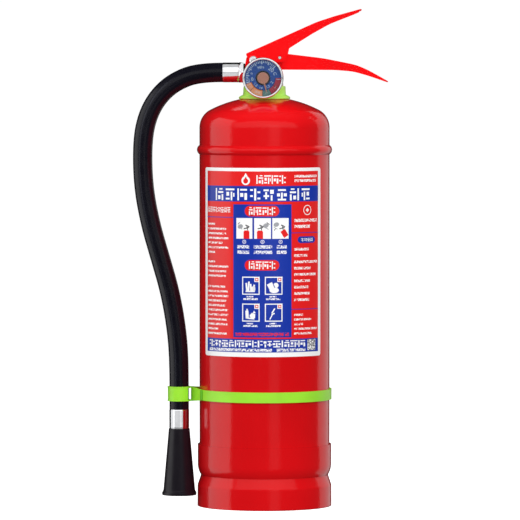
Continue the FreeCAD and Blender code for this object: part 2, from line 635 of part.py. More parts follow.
def squeeze_lever():
    """Pressed steel channel, open below, that straddles the carrying handle and presses the stem."""
    half = lever_half_width()
    outline = [(LEVER_TOP[0][0], LEVER_TOP[0][1], 1.2)]
    outline += [(x, z, r) for (x, z), r in zip(LEVER_TOP[1:-1], LEVER_TOP_RADII[1:-1])]
    outline += [LEVER_TOP[-1] + (0.9,)] + [(x, NECK_TOP_Z + rise, r) for x, rise, r in LEVER_EDGE]
    blank = side_plate(outline, half)
    inside = offset_line(LEVER_TOP, SHEET)
    radii = [max(r - SHEET, 0) for r in LEVER_TOP_RADII]
    channel = channel_cut(inside, radii, -40, 140, NECK_TOP_Z - 20, half - SHEET)
    lever = blank.cut(channel).common(rounded_plan(-40, LEVER_TOP[-1][0] - 0.2, half)).fuse(lever_tongue(blank))
    return lever.cut([rod(PIVOT_R + RUNNING, V(PIVOT_X, -30, PIVOT_Z), V(PIVOT_X, 30, PIVOT_Z)),
                      rod(PIN_R + RUNNING, V(PIN_X, -30, PIN_Z), V(PIN_X, 30, PIN_Z))])


def hinge_rivet():
    """Rivet through lever, handle cheeks and valve head, with a domed head at each end."""
    outer = lever_half_width() + FITTED
    shank = rod(PIVOT_R, V(PIVOT_X, -outer - 1, PIVOT_Z), V(PIVOT_X, outer + 1, PIVOT_Z))
    head = turned([(0, 0, 0), (4.0, 0, 0), (4.0, 1.0, 0.8), (2.6, 2.0, 1.0), (0, 2.0, 0)])
    heads = [placed(head, V(0, side, 0), V(PIVOT_X, side * outer, PIVOT_Z)) for side in (-1, 1)]
    return shank.multiFuse(heads)


def safety_pin():
    """Straight pin with a stop collar and a flat eye behind the back ear of the lever."""
    outer = lever_half_width()
    eye_y = outer + PIN_REACH + PIN_EYE_R
    shaft = placed(turned([(0, 0, 0), (PIN_R - 0.4, 0, 0), (PIN_R, 0.5, 0), (PIN_R, 2 * outer + PIN_REACH - 0.3, 0),
                           (0, 2 * outer + PIN_REACH - 0.3, 0)]), SIDEWAYS, V(PIN_X, -outer - 0.2, PIN_Z))
    stop = rod(PIN_R + 1.3, V(PIN_X, outer + FITTED, PIN_Z), V(PIN_X, outer + 1.3, PIN_Z))
    eye = Part.makeTorus(PIN_EYE_R, PIN_WIRE_R, V(PIN_X, eye_y, PIN_Z), UP)
    return shaft.multiFuse([stop, eye])


def pull_ring():
    """Ring that hangs from the far side of the pin's eye."""
    y = lever_half_width() + PIN_REACH + 2 * PIN_EYE_R
    z = PIN_Z + 2 * PIN_WIRE_R + FITTED - PULL_RING_R
    return Part.makeTorus(PULL_RING_R, PIN_WIRE_R, V(PIN_X, y, z), V(1, 0, 0))


def on_gauge(shape):
    """A piece drawn about Z with its back at zero, put on the gauge's axis facing the front."""
    return placed(shape, FORWARD, V(GAUGE_X, GAUGE_BACK_Y, GAUGE_Z))


def gauge_case():
    reach = abs(GAUGE_BACK_Y - GAUGE_SOCKET_Y) - SLACK
    cup = turned([(0, -reach, 0), (GAUGE_THREAD_R, -reach, 0.5), (GAUGE_THREAD_R, -GAUGE_SHOULDER, 0),
                  (GAUGE_THREAD_R + 2, -GAUGE_SHOULDER, 0), (GAUGE_THREAD_R + 2, 0, 0), (CASE_R, 0, 1.0),
                  (CASE_R, CASE_DEPTH, 0), (CASE_R - CASE_WALL, CASE_DEPTH, 0), (CASE_R - CASE_WALL, CASE_WALL, 0),
                  (0, CASE_WALL, 0)])
    return on_gauge(cup.cut(Part.makeCylinder(0.8, 40, V(-POST_R - 1.2, 0, -reach - 1))))


def gauge_gasket():
    low = -GAUGE_SHOULDER - GAUGE_GASKET
    return on_gauge(turned([(GAUGE_THREAD_R + FITTED, low, 0), (GAUGE_THREAD_R + 2, low, 0),
                            (GAUGE_THREAD_R + 2, -GAUGE_SHOULDER, 0), (GAUGE_THREAD_R + FITTED, -GAUGE_SHOULDER, 0)]))


def gauge_bezel():
    seat = CASE_DEPTH + FITTED + LENS_THICKNESS
    return on_gauge(turned([(CASE_R + RUNNING, BEZEL_BACK, 0), (BEZEL_R - 0.4, BEZEL_BACK, 0.4),
                            (BEZEL_R, BEZEL_FRONT - 2.5, 2.5), (BEZEL_R - 1.6, BEZEL_FRONT, 1.0),
                            (BEZEL_LIP_R, BEZEL_FRONT - 0.9, 0.4), (BEZEL_LIP_R, seat, 0),
                            (CASE_R + RUNNING, seat, 0)]))


def gauge_lens():
    return on_gauge(Part.makeCylinder(CASE_R, LENS_THICKNESS, V(0, 0, CASE_DEPTH)))


def gauge_dial():
    dial = Part.makeCylinder(CASE_R - CASE_WALL, DIAL_THICKNESS, V(0, 0, DIAL_DEPTH))
    return on_gauge(dial.cut(Part.makeCylinder(DIAL_HOLE_R, 10, V(0, 0, DIAL_DEPTH - 1))))


def gauge_post():
    """Fixed post that carries the pointer's shaft."""
    top = DIAL_DEPTH + DIAL_THICKNESS + 0.4
    return on_gauge(turned([(POINTER_SHAFT_R + RUNNING, CASE_WALL, 0), (POST_R, CASE_WALL, 0), (POST_R, top, 0.3),
                            (POINTER_SHAFT_R + RUNNING, top, 0)]))


def gauge_bourdon_tube():
    """C-shaped copper tube that straightens under pressure."""
    level = CASE_WALL + BOURDON_TUBE_R + 1.0
    arc = Part.makeTorus(BOURDON_R, BOURDON_TUBE_R, V(0, 0, level), UP, 0, 360, 270)
    start = V(BOURDON_R, 0, level)
    root = rod(BOURDON_TUBE_R * 0.9, start, V(POST_R + 0.3, -2.0, level))
    return on_gauge(arc.fuse(root))


def gauge_pointer():
    """Copper hub disc and needle in one piece, on a thin shaft."""
    low = DIAL_DEPTH + DIAL_THICKNESS + 0.5
    disc = Part.makeCylinder(POINTER_DISC_R, POINTER_THICKNESS, V(0, 0, low))
    shaft = Part.makeCylinder(POINTER_SHAFT_R, low - CASE_WALL - 1, V(0, 0, CASE_WALL + 1))
    needle = plan_plate([(POINTER_DISC_R - 1, -0.8, 0), (POINTER_LENGTH, -0.35, 0.3), (POINTER_LENGTH, 0.35, 0.3),
                         (POINTER_DISC_R - 1, 0.8, 0)], low, low + POINTER_THICKNESS)
    pointer = on_gauge(disc.multiFuse([shaft, needle]))
    # the needle starts along one side of the gauge, so its real direction is measured before it is turned
    axis = V(GAUGE_X, 0, GAUGE_Z)
    tip = on_gauge(needle).CenterOfMass - axis
    drawn = math.degrees(math.atan2(tip.z, tip.x))
    pointer.rotate(axis, FORWARD, POINTER_ANGLE - drawn)
    return pointer


def on_outlet(shape):
    """A piece drawn about Z with zero at the outlet's face, put on the hose outlet's axis."""
    return placed(shape, TO_HOSE, V(OUTLET_FACE_X, 0, OUTLET_Z))


def coupling_end():
    return GASKET_THICKNESS + COUPLING_HEX


def hose_gasket():
    return on_outlet(turned([(OUTLET_THREAD_R + FITTED, 0, 0), (OUTLET_BOSS_R, 0, 0),
                             (OUTLET_BOSS_R, GASKET_THICKNESS, 0), (OUTLET_THREAD_R + FITTED, GASKET_THICKNESS, 0)]))


def hose_coupling():
    """Plated brass end: thread into the valve, hexagon for the spanner, tail inside the hose."""
    thread = Part.makeCylinder(OUTLET_THREAD_R, OUTLET_THREAD_LENGTH + GASKET_THICKNESS, V(0, 0, -OUTLET_THREAD_LENGTH))
    chamfer = Part.makeCone(COUPLING_ACROSS_FLATS / 2 + 2.6, COUPLING_ACROSS_FLATS / 2 - 0.2, COUPLING_HEX,
                            V(0, 0, GASKET_THICKNESS))
    nut = hexagon(COUPLING_ACROSS_FLATS, GASKET_THICKNESS, coupling_end()).common(chamfer)
    tail = Part.makeCylinder(TAIL_R, TAIL_LENGTH, V(0, 0, coupling_end() - 1))
    body = thread.multiFuse([nut, tail])
    return on_outlet(body.cut(Part.makeCylinder(TAIL_BORE_R, 80, V(0, 0, -20))))


def upper_ferrule_length():
    return abs(HOSE_POINTS[0][0] - OUTLET_FACE_X) - coupling_end()


def ferrule(length):
    """Crimped sleeve: lip at zero, open at the hose end, with two shallow crimp grooves."""
    bore = HOSE_CRIMP_R + RUNNING
    sleeve = turned([(TAIL_R + FITTED, 0, 0), (FERRULE_R, 0, 0.6), (FERRULE_R, length, 0.4), (bore, length, 0),
                     (bore, FERRULE_LIP, 0), (TAIL_R + FITTED, FERRULE_LIP, 0)])
    return sleeve


def upper_ferrule():
    sleeve = ferrule(upper_ferrule_length())
    sleeve.translate(V(0, 0, coupling_end()))
    return on_outlet(sleeve)


def hose_path():
    """Route of the hose, from the mouth of one ferrule to the mouth of the other, with its length."""
    points = [V(x, 0, z) for x, z in HOSE_POINTS]
    radii = [0.0]
    length = sum((b - a).Length for a, b in zip(points, points[1:]))
    for before, point, after in zip(points, points[1:], points[2:]):
        turn = (point - before).getAngle(after - point)
        shorter = min((point - before).Length, (after - point).Length)
        radius = 0.45 * shorter / math.tan(turn / 2)
        length += radius * turn - 0.9 * shorter
        radii.append(radius)
    radii.append(0.0)
    return rounded_wire(points, radii, False), radii, length


def hose():
    """Rubber hose with a bore, each end squeezed inside its ferrule."""
    path, radii, length = hose_path()
    first, last = path.Vertexes[0].Point, path.Vertexes[-1].Point
    tubes = []
    for radius in (HOSE_R, HOSE_BORE_R):
        section = Part.Wire([Part.makeCircle(radius, first, TO_HOSE)])
        tubes.append(path.makePipeShell([section], True, False))
    skin = tubes[0].cut(tubes[1])
    ends = []
    for start, direction, depth in ((first, V(1, 0, 0), upper_ferrule_length()), (last, V(0, 0, -1), LOWER_FERRULE_LENGTH)):
        reach = depth - FERRULE_LIP - SLACK
        ends.append(Part.makeCylinder(HOSE_CRIMP_R, reach, start, direction).cut(
            Part.makeCylinder(HOSE_BORE_R, reach, start, direction)))
    area = math.pi * (HOSE_R ** 2 - HOSE_BORE_R ** 2)
    print("hose length %.1f, arc radii %s" % (length, ", ".join("%.0f" % r for r in radii[1:-1])))
    print("hose volume %.0f, section times length %.0f" % (skin.Volume, area * length))
    return skin.multiFuse(ends)


def hose_end():
    return HOSE_POINTS[-1]


def lower_ferrule():
    x, z = hose_end()
    sleeve = ferrule(LOWER_FERRULE_LENGTH)
    return placed(sleeve, UP, V(x, 0, z - LOWER_FERRULE_LENGTH))


def nozzle_tail():
    """Tail inside the lower end of the hose, with the thread that the nozzle screws on."""
    x, z = hose_end()
    join = z - LOWER_FERRULE_LENGTH
    return turned([(TAIL_BORE_R, join - NOZZLE_THREAD_LENGTH, 0), (NOZZLE_THREAD_R, join - NOZZLE_THREAD_LENGTH, 0.5),
                   (NOZZLE_THREAD_R, join - FITTED, 0), (TAIL_R, join, 0), (TAIL_R, join + TAIL_LENGTH, 0.5),
                   (TAIL_BORE_R, join + TAIL_LENGTH, 0)], x)


def nozzle_horn():
    """Flared black plastic nozzle with a beaded lip."""
    x, z = hose_end()
    top = z - LOWER_FERRULE_LENGTH
    socket = top - NOZZLE_THREAD_LENGTH - 1
    low = NOZZLE_BOTTOM_Z
    return turned([(NOZZLE_THREAD_R + RUNNING, socket, 0), (NOZZLE_THREAD_R + RUNNING, top, 0),
                   (NOZZLE_TOP_R, top, 0.8), (NOZZLE_EXIT_R, low + 5, 3), (NOZZLE_LIP_R, low + NOZZLE_LIP, 0.8),
                   (NOZZLE_LIP_R, low, 0.8), (NOZZLE_EXIT_R - NOZZLE_WALL, low, 0.6),
                   (NOZZLE_THROAT_R, socket - 3, 4), (NOZZLE_THROAT_R, socket, 0)], x)


def teardrop(radius, apex_x, half_gap, z0, z1):
    """Disc with two tangent sides that run to a blunt point on the hose side."""
    disc = Part.makeCylinder(radius, z1 - z0, V(0, 0, z0))
    reach = math.hypot(apex_x, half_gap)
    angle = math.acos(radius / reach) - math.atan2(half_gap, abs(apex_x))
    tangent = (-radius * math.cos(angle), radius * math.sin(angle))
    outline = [(0, 0, 0), (tangent[0], -tangent[1], 0), (apex_x, -half_gap, 0), (apex_x, half_gap, 0),
               (tangent[0], tangent[1], 0)]
    return disc.fuse(plan_plate(outline, z0, z1))


def strap_side(half_outer, half_inner):
    """Side view of the strap: its body height, growing to the clip's height on the hose side."""
    return side_plate([(CLIP_JOIN_X, STRAP_Z - half_inner, 0), (KINK_X, STRAP_Z - half_outer, 0),
                       (100, STRAP_Z - half_outer, 0), (100, STRAP_Z + half_outer, 0),
                       (KINK_X, STRAP_Z + half_outer, 0), (CLIP_JOIN_X, STRAP_Z + half_inner, 0)], 90)


def strap_band():
    """Plastic strap round the cylinder, drawn together at the hose side."""
    low = STRAP_Z - CLIP_HEIGHT / 2 - 1
    high = STRAP_Z + CLIP_HEIGHT / 2 + 1
    inner_r = BODY_R + FITTED
    outer = teardrop(inner_r + STRAP_THICKNESS, CLIP_JOIN_X, CLIP_THICKNESS, low, high)
    inner = teardrop(inner_r, CLIP_JOIN_X + 2.6, 0.05, low - 1, high + 1)
    return outer.cut(inner).common(strap_side(STRAP_HEIGHT / 2, CLIP_HEIGHT / 2))


def hose_clip():
    """Plastic loop round the hose, on a short windowed neck that meets the strap."""
    x = hose_end()[0]
    bore = HOSE_R + SLACK
    low = STRAP_Z - CLIP_HEIGHT / 2
    loop = Part.makeCylinder(bore + CLIP_THICKNESS, CLIP_HEIGHT, V(x, 0, low))
    neck = Part.makeBox(abs(x - CLIP_JOIN_X), 2 * CLIP_THICKNESS, CLIP_HEIGHT, V(x, -CLIP_THICKNESS, low))
    window_x = x + bore - 0.8
    window = Part.makeBox(CLIP_JOIN_X - window_x, 20, CLIP_WINDOW_HEIGHT,
                          V(window_x, -10, STRAP_Z - CLIP_WINDOW_HEIGHT / 2))
    hole = Part.makeCylinder(bore, CLIP_HEIGHT + 2, V(x, 0, low - 1))
    return loop.fuse(neck).cut([hole, window])


def label_sheet():
    """Printed label, a thin curved sheet round the front of the tube."""
    low, high = LABEL_Z
    outer = Part.makeCylinder(BODY_R + LABEL_THICKNESS, high - low, V(0, 0, low), UP, 2 * LABEL_HALF_ANGLE)
    inner = Part.makeCylinder(BODY_R, high - low, V(0, 0, low), UP, 360)
    sheet = outer.cut(inner)
    sheet.rotate(V(0, 0, 0), UP, 270 - LABEL_HALF_ANGLE + LABEL_TURN)
    return sheet


NODES = {"body_tube": body_tube, "top_head": top_head, "shoulder_bead": shoulder_bead, "bottom_head": bottom_head,
         "foot_ring": foot_ring, "neck_ring": neck_ring, "neck_o_ring": neck_o_ring, "neck_collar": neck_collar,
         "valve_body": valve_body, "gland_nut": gland_nut, "stem_o_ring": stem_o_ring, "valve_stem": valve_stem,
         "piston_seal": piston_seal, "return_spring": return_spring, "siphon_adaptor": siphon_adaptor,
         "siphon_tube": siphon_tube, "powder_charge": powder_charge, "carrying_handle": carrying_handle,
         "handle_screws": handle_screws, "squeeze_lever": squeeze_lever, "hinge_rivet": hinge_rivet,
         "safety_pin": safety_pin, "pull_ring": pull_ring, "gauge_case": gauge_case, "gauge_gasket": gauge_gasket,
         "gauge_bezel": gauge_bezel, "gauge_lens": gauge_lens, "gauge_dial": gauge_dial, "gauge_post": gauge_post,
         "gauge_bourdon_tube": gauge_bourdon_tube, "gauge_pointer": gauge_pointer, "hose_gasket": hose_gasket,
         "hose_coupling": hose_coupling, "upper_ferrule": upper_ferrule, "hose": hose,
         "lower_ferrule": lower_ferrule, "nozzle_tail": nozzle_tail, "nozzle_horn": nozzle_horn,
         "strap_band": strap_band, "hose_clip": hose_clip, "label_sheet": label_sheet}

os.makedirs("parts", exist_ok=True)
for node, make in NODES.items():
    shape = make()
    shape.exportStep("parts/%s.step" % node)
print("stem travel %.3f mm over %.0f degrees" % (stem_travel(), LEVER_TRAVEL_DEG))
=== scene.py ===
import json
import math

import bpy
from bpy.props import FloatProperty, FloatVectorProperty, IntProperty, PointerProperty
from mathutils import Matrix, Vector


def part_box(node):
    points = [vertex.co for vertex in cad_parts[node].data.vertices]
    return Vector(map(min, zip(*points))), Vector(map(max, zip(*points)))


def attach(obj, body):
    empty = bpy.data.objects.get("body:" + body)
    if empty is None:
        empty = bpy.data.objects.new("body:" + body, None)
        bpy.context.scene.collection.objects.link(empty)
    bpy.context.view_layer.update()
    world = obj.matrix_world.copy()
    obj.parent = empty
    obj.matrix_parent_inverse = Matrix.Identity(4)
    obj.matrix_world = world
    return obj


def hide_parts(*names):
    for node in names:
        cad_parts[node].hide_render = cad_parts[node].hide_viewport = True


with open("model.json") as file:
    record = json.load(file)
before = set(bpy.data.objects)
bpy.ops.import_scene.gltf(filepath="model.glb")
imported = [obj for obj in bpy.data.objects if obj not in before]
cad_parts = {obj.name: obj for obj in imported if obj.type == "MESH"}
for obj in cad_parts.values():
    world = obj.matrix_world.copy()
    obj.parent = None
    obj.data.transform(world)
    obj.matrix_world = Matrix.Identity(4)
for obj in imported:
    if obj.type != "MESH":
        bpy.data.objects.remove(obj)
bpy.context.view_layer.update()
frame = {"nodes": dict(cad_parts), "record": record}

bl_info = {
    "name": "Fire extinguisher finish",
    "version": (1, 0, 0),
    "blender": (4, 5, 0),
    "location": "View3D > Sidebar > Extinguisher",
    "description": "Hose, fittings, label, gauge face, finishes and studio for a dry powder extinguisher",
    "category": "Object",
}

CAD = frame["nodes"]
MM = 0.001
PAPER_WHITE = (0.93, 0.93, 0.93)
PRINT_STEP = 0.03               # millimetres that each printed layer stands above the one under it
FERRULE_BORE, FERRULE_R = 9.75, 9.9


# ---------------------------------------------------------------- settings

class ExtinguisherPaint(bpy.types.PropertyGroup):
    body: FloatVectorProperty(name="Cylinder paint", description="Baked gloss enamel on the cylinder",
                              subtype="COLOR", size=3, min=0, max=1, default=(0.655, 0.0035, 0.006))
    handles: FloatVectorProperty(name="Handle paint", description="Brighter enamel on lever and handle",
                                 subtype="COLOR", size=3, min=0, max=1, default=(0.86, 0.003, 0.005))
    lime: FloatVectorProperty(name="Lime plastic", description="Moulded strap and hose clip",
                              subtype="COLOR", size=3, min=0, max=1, default=(0.35, 0.82, 0.038))
    # Painted light: the collar's lime is paler than the strap's, to lift the shade that falls on it under the
    # gauge.
    collar_lightened: FloatVectorProperty(name="Collar plastic", description="Paler, softer plastic of the neck collar",
                                subtype="COLOR", size=3, min=0, max=1, default=(0.50, 0.93, 0.13))
    gloss: FloatProperty(name="Paint roughness", description="Roughness under the clear coat",
                         default=0.42, min=0.05, max=1)


class ExtinguisherHose(bpy.types.PropertyGroup):
    diameter: FloatProperty(name="Hose diameter", description="Outside diameter of the rubber hose",
                            default=0.0194, min=0.015, max=0.025, unit="LENGTH")
    length: FloatProperty(name="Hose length", description="From the upper ferrule to the lower one",
                          default=0.3912, min=0.2, max=0.8, unit="LENGTH")
    crimps: IntProperty(name="Crimp grooves", description="Pressed grooves round each ferrule",
                        default=0, min=0, max=6)


class ExtinguisherLabel(bpy.types.PropertyGroup):
    centre: FloatProperty(name="Label turn", description="Angle of the label's middle from the front",
                          default=math.radians(-2.9), subtype="ANGLE")
    blue: FloatVectorProperty(name="Label blue", description="Printed blue", subtype="COLOR", size=3,
                              min=0, max=1, default=(0.006, 0.033, 0.36))
    red: FloatVectorProperty(name="Label red", description="Printed red", subtype="COLOR", size=3,
                             min=0, max=1, default=(0.78, 0.012, 0.012))


class ExtinguisherGauge(bpy.types.PropertyGroup):
    face: FloatVectorProperty(name="Dial blue", description="Printed ground of the dial", subtype="COLOR",
                              size=3, min=0, max=1, default=(0.035, 0.105, 0.40))
    ticks: IntProperty(name="Dial ticks", description="Scale marks round the top of the dial",
                       default=25, min=5, max=60)


class ExtinguisherStudio(bpy.types.PropertyGroup):
    distance: FloatProperty(name="Camera distance", description="From the lens to the middle of the picture",
                            default=5.1, min=1, max=20, unit="LENGTH")
    pitch: FloatProperty(name="Camera pitch", description="How far the camera looks down",
                         default=math.radians(2.35), subtype="ANGLE")
    lens: FloatProperty(name="Focal length", description="Of the lens, in millimetres", default=353.0, min=50)


# ---------------------------------------------------------------- modelling by hand

def only(*things):
    """Leaves nothing selected but the things given, in object mode."""
    if bpy.context.object and bpy.context.object.mode != "OBJECT":
        bpy.ops.object.mode_set(mode="OBJECT")
    bpy.ops.object.select_all(action="DESELECT")
    for thing in things:
        thing.select_set(True)
    bpy.context.view_layer.objects.active = things[0] if things else None


def edit(piece, kind="VERT"):
    only(piece)
    bpy.ops.object.mode_set(mode="EDIT")
    bpy.ops.mesh.select_mode(type=kind)
    bpy.ops.mesh.select_all(action="SELECT")


def apply_place(piece):
    """Puts the piece's place and turn into its mesh."""
    only(piece)
    bpy.ops.object.transform_apply(location=True, rotation=True, scale=True)


def modifier(piece, kind, **settings):
    only(piece)
    bpy.ops.object.modifier_add(type=kind)
    made = piece.modifiers[-1]
    for key, value in settings.items():
        setattr(made, key, value)
    bpy.ops.object.modifier_apply(modifier=made.name)


def smooth(piece, degrees=35):
    only(piece)
    bpy.ops.object.shade_smooth_by_angle(angle=math.radians(degrees))


def turned(name, stations, sides=96):
    """A turned piece about the Z axis: a rim drawn out through (radius, height) stations in millimetres."""
    only()
    r, z = stations[0]
    bpy.ops.mesh.primitive_circle_add(vertices=sides, radius=r * MM, location=(0, 0, z * MM))
    piece = bpy.context.object
    piece.name = name
    apply_place(piece)
    edit(piece)
    for (r0, z0), (r1, z1) in zip(stations, stations[1:]):
        bpy.ops.mesh.extrude_edges_move(TRANSFORM_OT_translate={"value": (0, 0, (z1 - z0) * MM)})
        bpy.ops.transform.resize(value=(r1 / r0, r1 / r0, 1), center_override=(0, 0, 0))
    bpy.ops.mesh.select_all(action="SELECT")
    bpy.ops.mesh.remove_doubles(threshold=0.000021)
    bpy.ops.mesh.normals_make_consistent(inside=False)
    only(piece)
    return piece


def stand(piece, turn=(0, 0, 0), at=(0, 0, 0)):
    """Turns the piece by degrees, moves it to millimetres, and puts both into the mesh."""
    piece.rotation_euler = [math.radians(a) for a in turn]
    piece.location = [a * MM for a in at]
    apply_place(piece)
    return piece


def join(name, *pieces):
    only(*pieces)
    if len(pieces) > 1:
        bpy.ops.object.join()
    pieces[0].name = name
    return pieces[0]


def finish(piece, material, body="extinguisher", instead=()):
    piece.data.materials.clear()
    piece.data.materials.append(material)
    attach(piece, body)
    if instead:
        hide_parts(*instead)
    return piece


# ---------------------------------------------------------------- finishes

def node(tree, kind, inputs=None, **settings):
    made = tree.nodes.new(kind)
    for key, value in settings.items():
        setattr(made, key, value)
    for key, value in (inputs or {}).items():
        made.inputs[key].default_value = value
    return made


def link(tree, a, b):
    tree.links.new(a, b)


def shader(name, **sockets):
    """A new material with its shader's plain values set on the shader itself."""
    mat = bpy.data.materials.new(name)
    mat.use_nodes = True
    surface = mat.node_tree.nodes["Principled BSDF"]
    for key, value in sockets.items():
        surface.inputs[key.replace("_", " ")].default_value = value
    return mat, mat.node_tree, surface


def colour(rgb):
    return (rgb[0], rgb[1], rgb[2], 1)


def coordinates(tree, stretch=(1, 1, 1), turn=(0, 0, 0)):
    where = node(tree, "ShaderNodeTexCoord")
    mapping = node(tree, "ShaderNodeMapping")
    mapping.inputs["Scale"].default_value = stretch
    mapping.inputs["Rotation"].default_value = turn
    link(tree, where.outputs["Object"], mapping.inputs["Vector"])
    return mapping.outputs["Vector"]


def grain(tree, vector, scale, detail=3.0, roughness=0.5):
    made = node(tree, "ShaderNodeTexNoise", {"Scale": scale, "Detail": detail, "Roughness": roughness})
    link(tree, vector, made.inputs["Vector"])
    return made.outputs["Fac"]


def ramp(tree, value, stops):
    made = node(tree, "ShaderNodeValToRGB")
    steps = made.color_ramp.elements
    while len(steps) < len(stops):
        steps.new(0.5)
    for step, (place, tone) in zip(steps, stops):
        step.position, step.color = place, tone
    link(tree, value, made.inputs["Fac"])
    return made.outputs["Color"]


def grey(v):
    return (v, v, v, 1)


def span(tree, value, low, high, to_low, to_high):
    made = node(tree, "ShaderNodeMapRange",
                {"From Min": low, "From Max": high, "To Min": to_low, "To Max": to_high})
    link(tree, value, made.inputs["Value"])
    return made.outputs["Result"]


def bumps(tree, height, strength, distance, under=None):
    made = node(tree, "ShaderNodeBump", {"Strength": strength, "Distance": distance})
    link(tree, height, made.inputs["Height"])
    if under is not None:
        link(tree, under, made.inputs["Normal"])
    return made.outputs["Normal"]


def uneven_colour(tree, surface, rgb, pattern, darker, lighter=1.0, start=0.3, stop=0.7):
    """Lets the colour drift with a pattern, between darker and lighter times its value."""
    deep = colour([c * darker for c in rgb])
    full = colour([min(1, c * lighter) for c in rgb])
    link(tree, ramp(tree, pattern, [(start, deep), (stop, full)]), surface.inputs["Base Color"])


def uneven_gloss(tree, surface, pattern, low, high):
    link(tree, span(tree, pattern, 0.3, 0.7, low, high), surface.inputs["Roughness"])


def enamel(name, rgb, roughness, coat, peel=1.0):
    """Baked enamel: a slightly uneven colour under a clear coat with fine orange peel."""
    mat, tree, surface = shader(name, Coat_Weight=coat, Coat_Roughness=0.07, Coat_IOR=1.5,
                                Specular_IOR_Level=0.05)
    place = coordinates(tree)
    uneven_colour(tree, surface, rgb, grain(tree, place, 9.0, 4.0), 0.90, 1.05, 0.32, 0.68)
    uneven_gloss(tree, surface, grain(tree, place, 60.0), roughness - 0.05, roughness + 0.05)
    fine = bumps(tree, grain(tree, place, 620.0, 2.0), 0.34 * peel, 0.0003)
    wavy = bumps(tree, grain(tree, place, 38.0, 2.0), 0.07 * peel, 0.0008, fine)
    link(tree, wavy, surface.inputs["Coat Normal"])
    link(tree, fine, surface.inputs["Normal"])
    return mat


def plated(name, rgb, roughness, turn=(0, 0, 0), stretch=(1, 1, 40), metal=1.0):
    """Bright plating over turned metal: lathe lines and a faint haze."""
    mat, tree, surface = shader(name, Metallic=metal)
    lines = grain(tree, coordinates(tree, stretch, turn), 60.0, 4.0, 0.6)
    place = coordinates(tree)
    uneven_colour(tree, surface, rgb, grain(tree, place, 140.0, 4.0), 0.86, stop=0.62)
    uneven_gloss(tree, surface, lines, roughness * 0.7, roughness * 1.5)
    link(tree, bumps(tree, lines, 0.05, 0.0002), surface.inputs["Normal"])
    return mat


def moulded(name, rgb, roughness, grain_size=900.0, depth=0.12, sheen=0.0, inside=0.0):
    """Moulded plastic or rubber: fine spark-eroded texture, flow marks and softer patches."""
    mat, tree, surface = shader(name, Specular_IOR_Level=0.45, Subsurface_Weight=inside,
                                Subsurface_Scale=0.004, Sheen_Weight=sheen, Sheen_Roughness=0.4)
    place = coordinates(tree)
    uneven_colour(tree, surface, rgb, grain(tree, place, 26.0, 3.0), 0.88, 1.06)
    uneven_gloss(tree, surface, grain(tree, place, 110.0), roughness - 0.06, roughness + 0.07)
    link(tree, bumps(tree, grain(tree, place, grain_size, 2.0), depth, 0.00015), surface.inputs["Normal"])
    return mat


def print_ink(name, rgb, roughness=0.32, coat=0.35):
    """Screen-printed ink on film: a trace of halftone mottle under a thin laminate."""
    mat, tree, surface = shader(name, Coat_Weight=coat, Coat_Roughness=0.12, Specular_IOR_Level=0.35)
    place = coordinates(tree)
    uneven_colour(tree, surface, rgb, grain(tree, place, 1400.0, 2.0), 0.94, start=0.35, stop=0.65)
    uneven_gloss(tree, surface, grain(tree, place, 50.0), roughness - 0.04, roughness + 0.06)
    link(tree, bumps(tree, grain(tree, place, 70.0, 3.0), 0.04, 0.0003), surface.inputs["Normal"])
    return mat


def small_print(name, ink, ground):
    """Rows too small to read, as ragged strokes on the printed ground, on the label's flat map."""
    mat, tree, surface = shader(name, Coat_Weight=0.35, Coat_Roughness=0.12, Roughness=0.34)
    uv = node(tree, "ShaderNodeUVMap", uv_map="flat")
    stretch = node(tree, "ShaderNodeMapping")
    stretch.inputs["Scale"].default_value = (620, 900, 1)
    link(tree, uv.outputs["UV"], stretch.inputs["Vector"])
    cells = node(tree, "ShaderNodeTexVoronoi", {"Scale": 1.0, "Randomness": 0.55}, distance="CHEBYCHEV")
    link(tree, stretch.outputs["Vector"], cells.inputs["Vector"])
    strokes = ramp(tree, cells.outputs["Distance"], [(0.37, grey(1)), (0.52, grey(0))])
    mix = node(tree, "ShaderNodeMix", data_type="RGBA")
    link(tree, strokes, mix.inputs[0])
    mix.inputs[6].default_value = colour(ground)
    mix.inputs[7].default_value = colour(ink)
    link(tree, mix.outputs[2], surface.inputs["Base Color"])
    return mat


def lens_glass(name):
    """A clear moulded lens: nearly all see-through, with faint moulding waves."""
    mat, tree, surface = shader(name, Alpha=0.14, Roughness=0.03, IOR=1.49, Specular_IOR_Level=0.6)
    surface.inputs["Base Color"].default_value = (0.02, 0.03, 0.04, 1)
    link(tree, bumps(tree, grain(tree, coordinates(tree), 45.0, 2.0), 0.03, 0.0005), surface.inputs["Normal"])
    return mat


FINISHES = {}


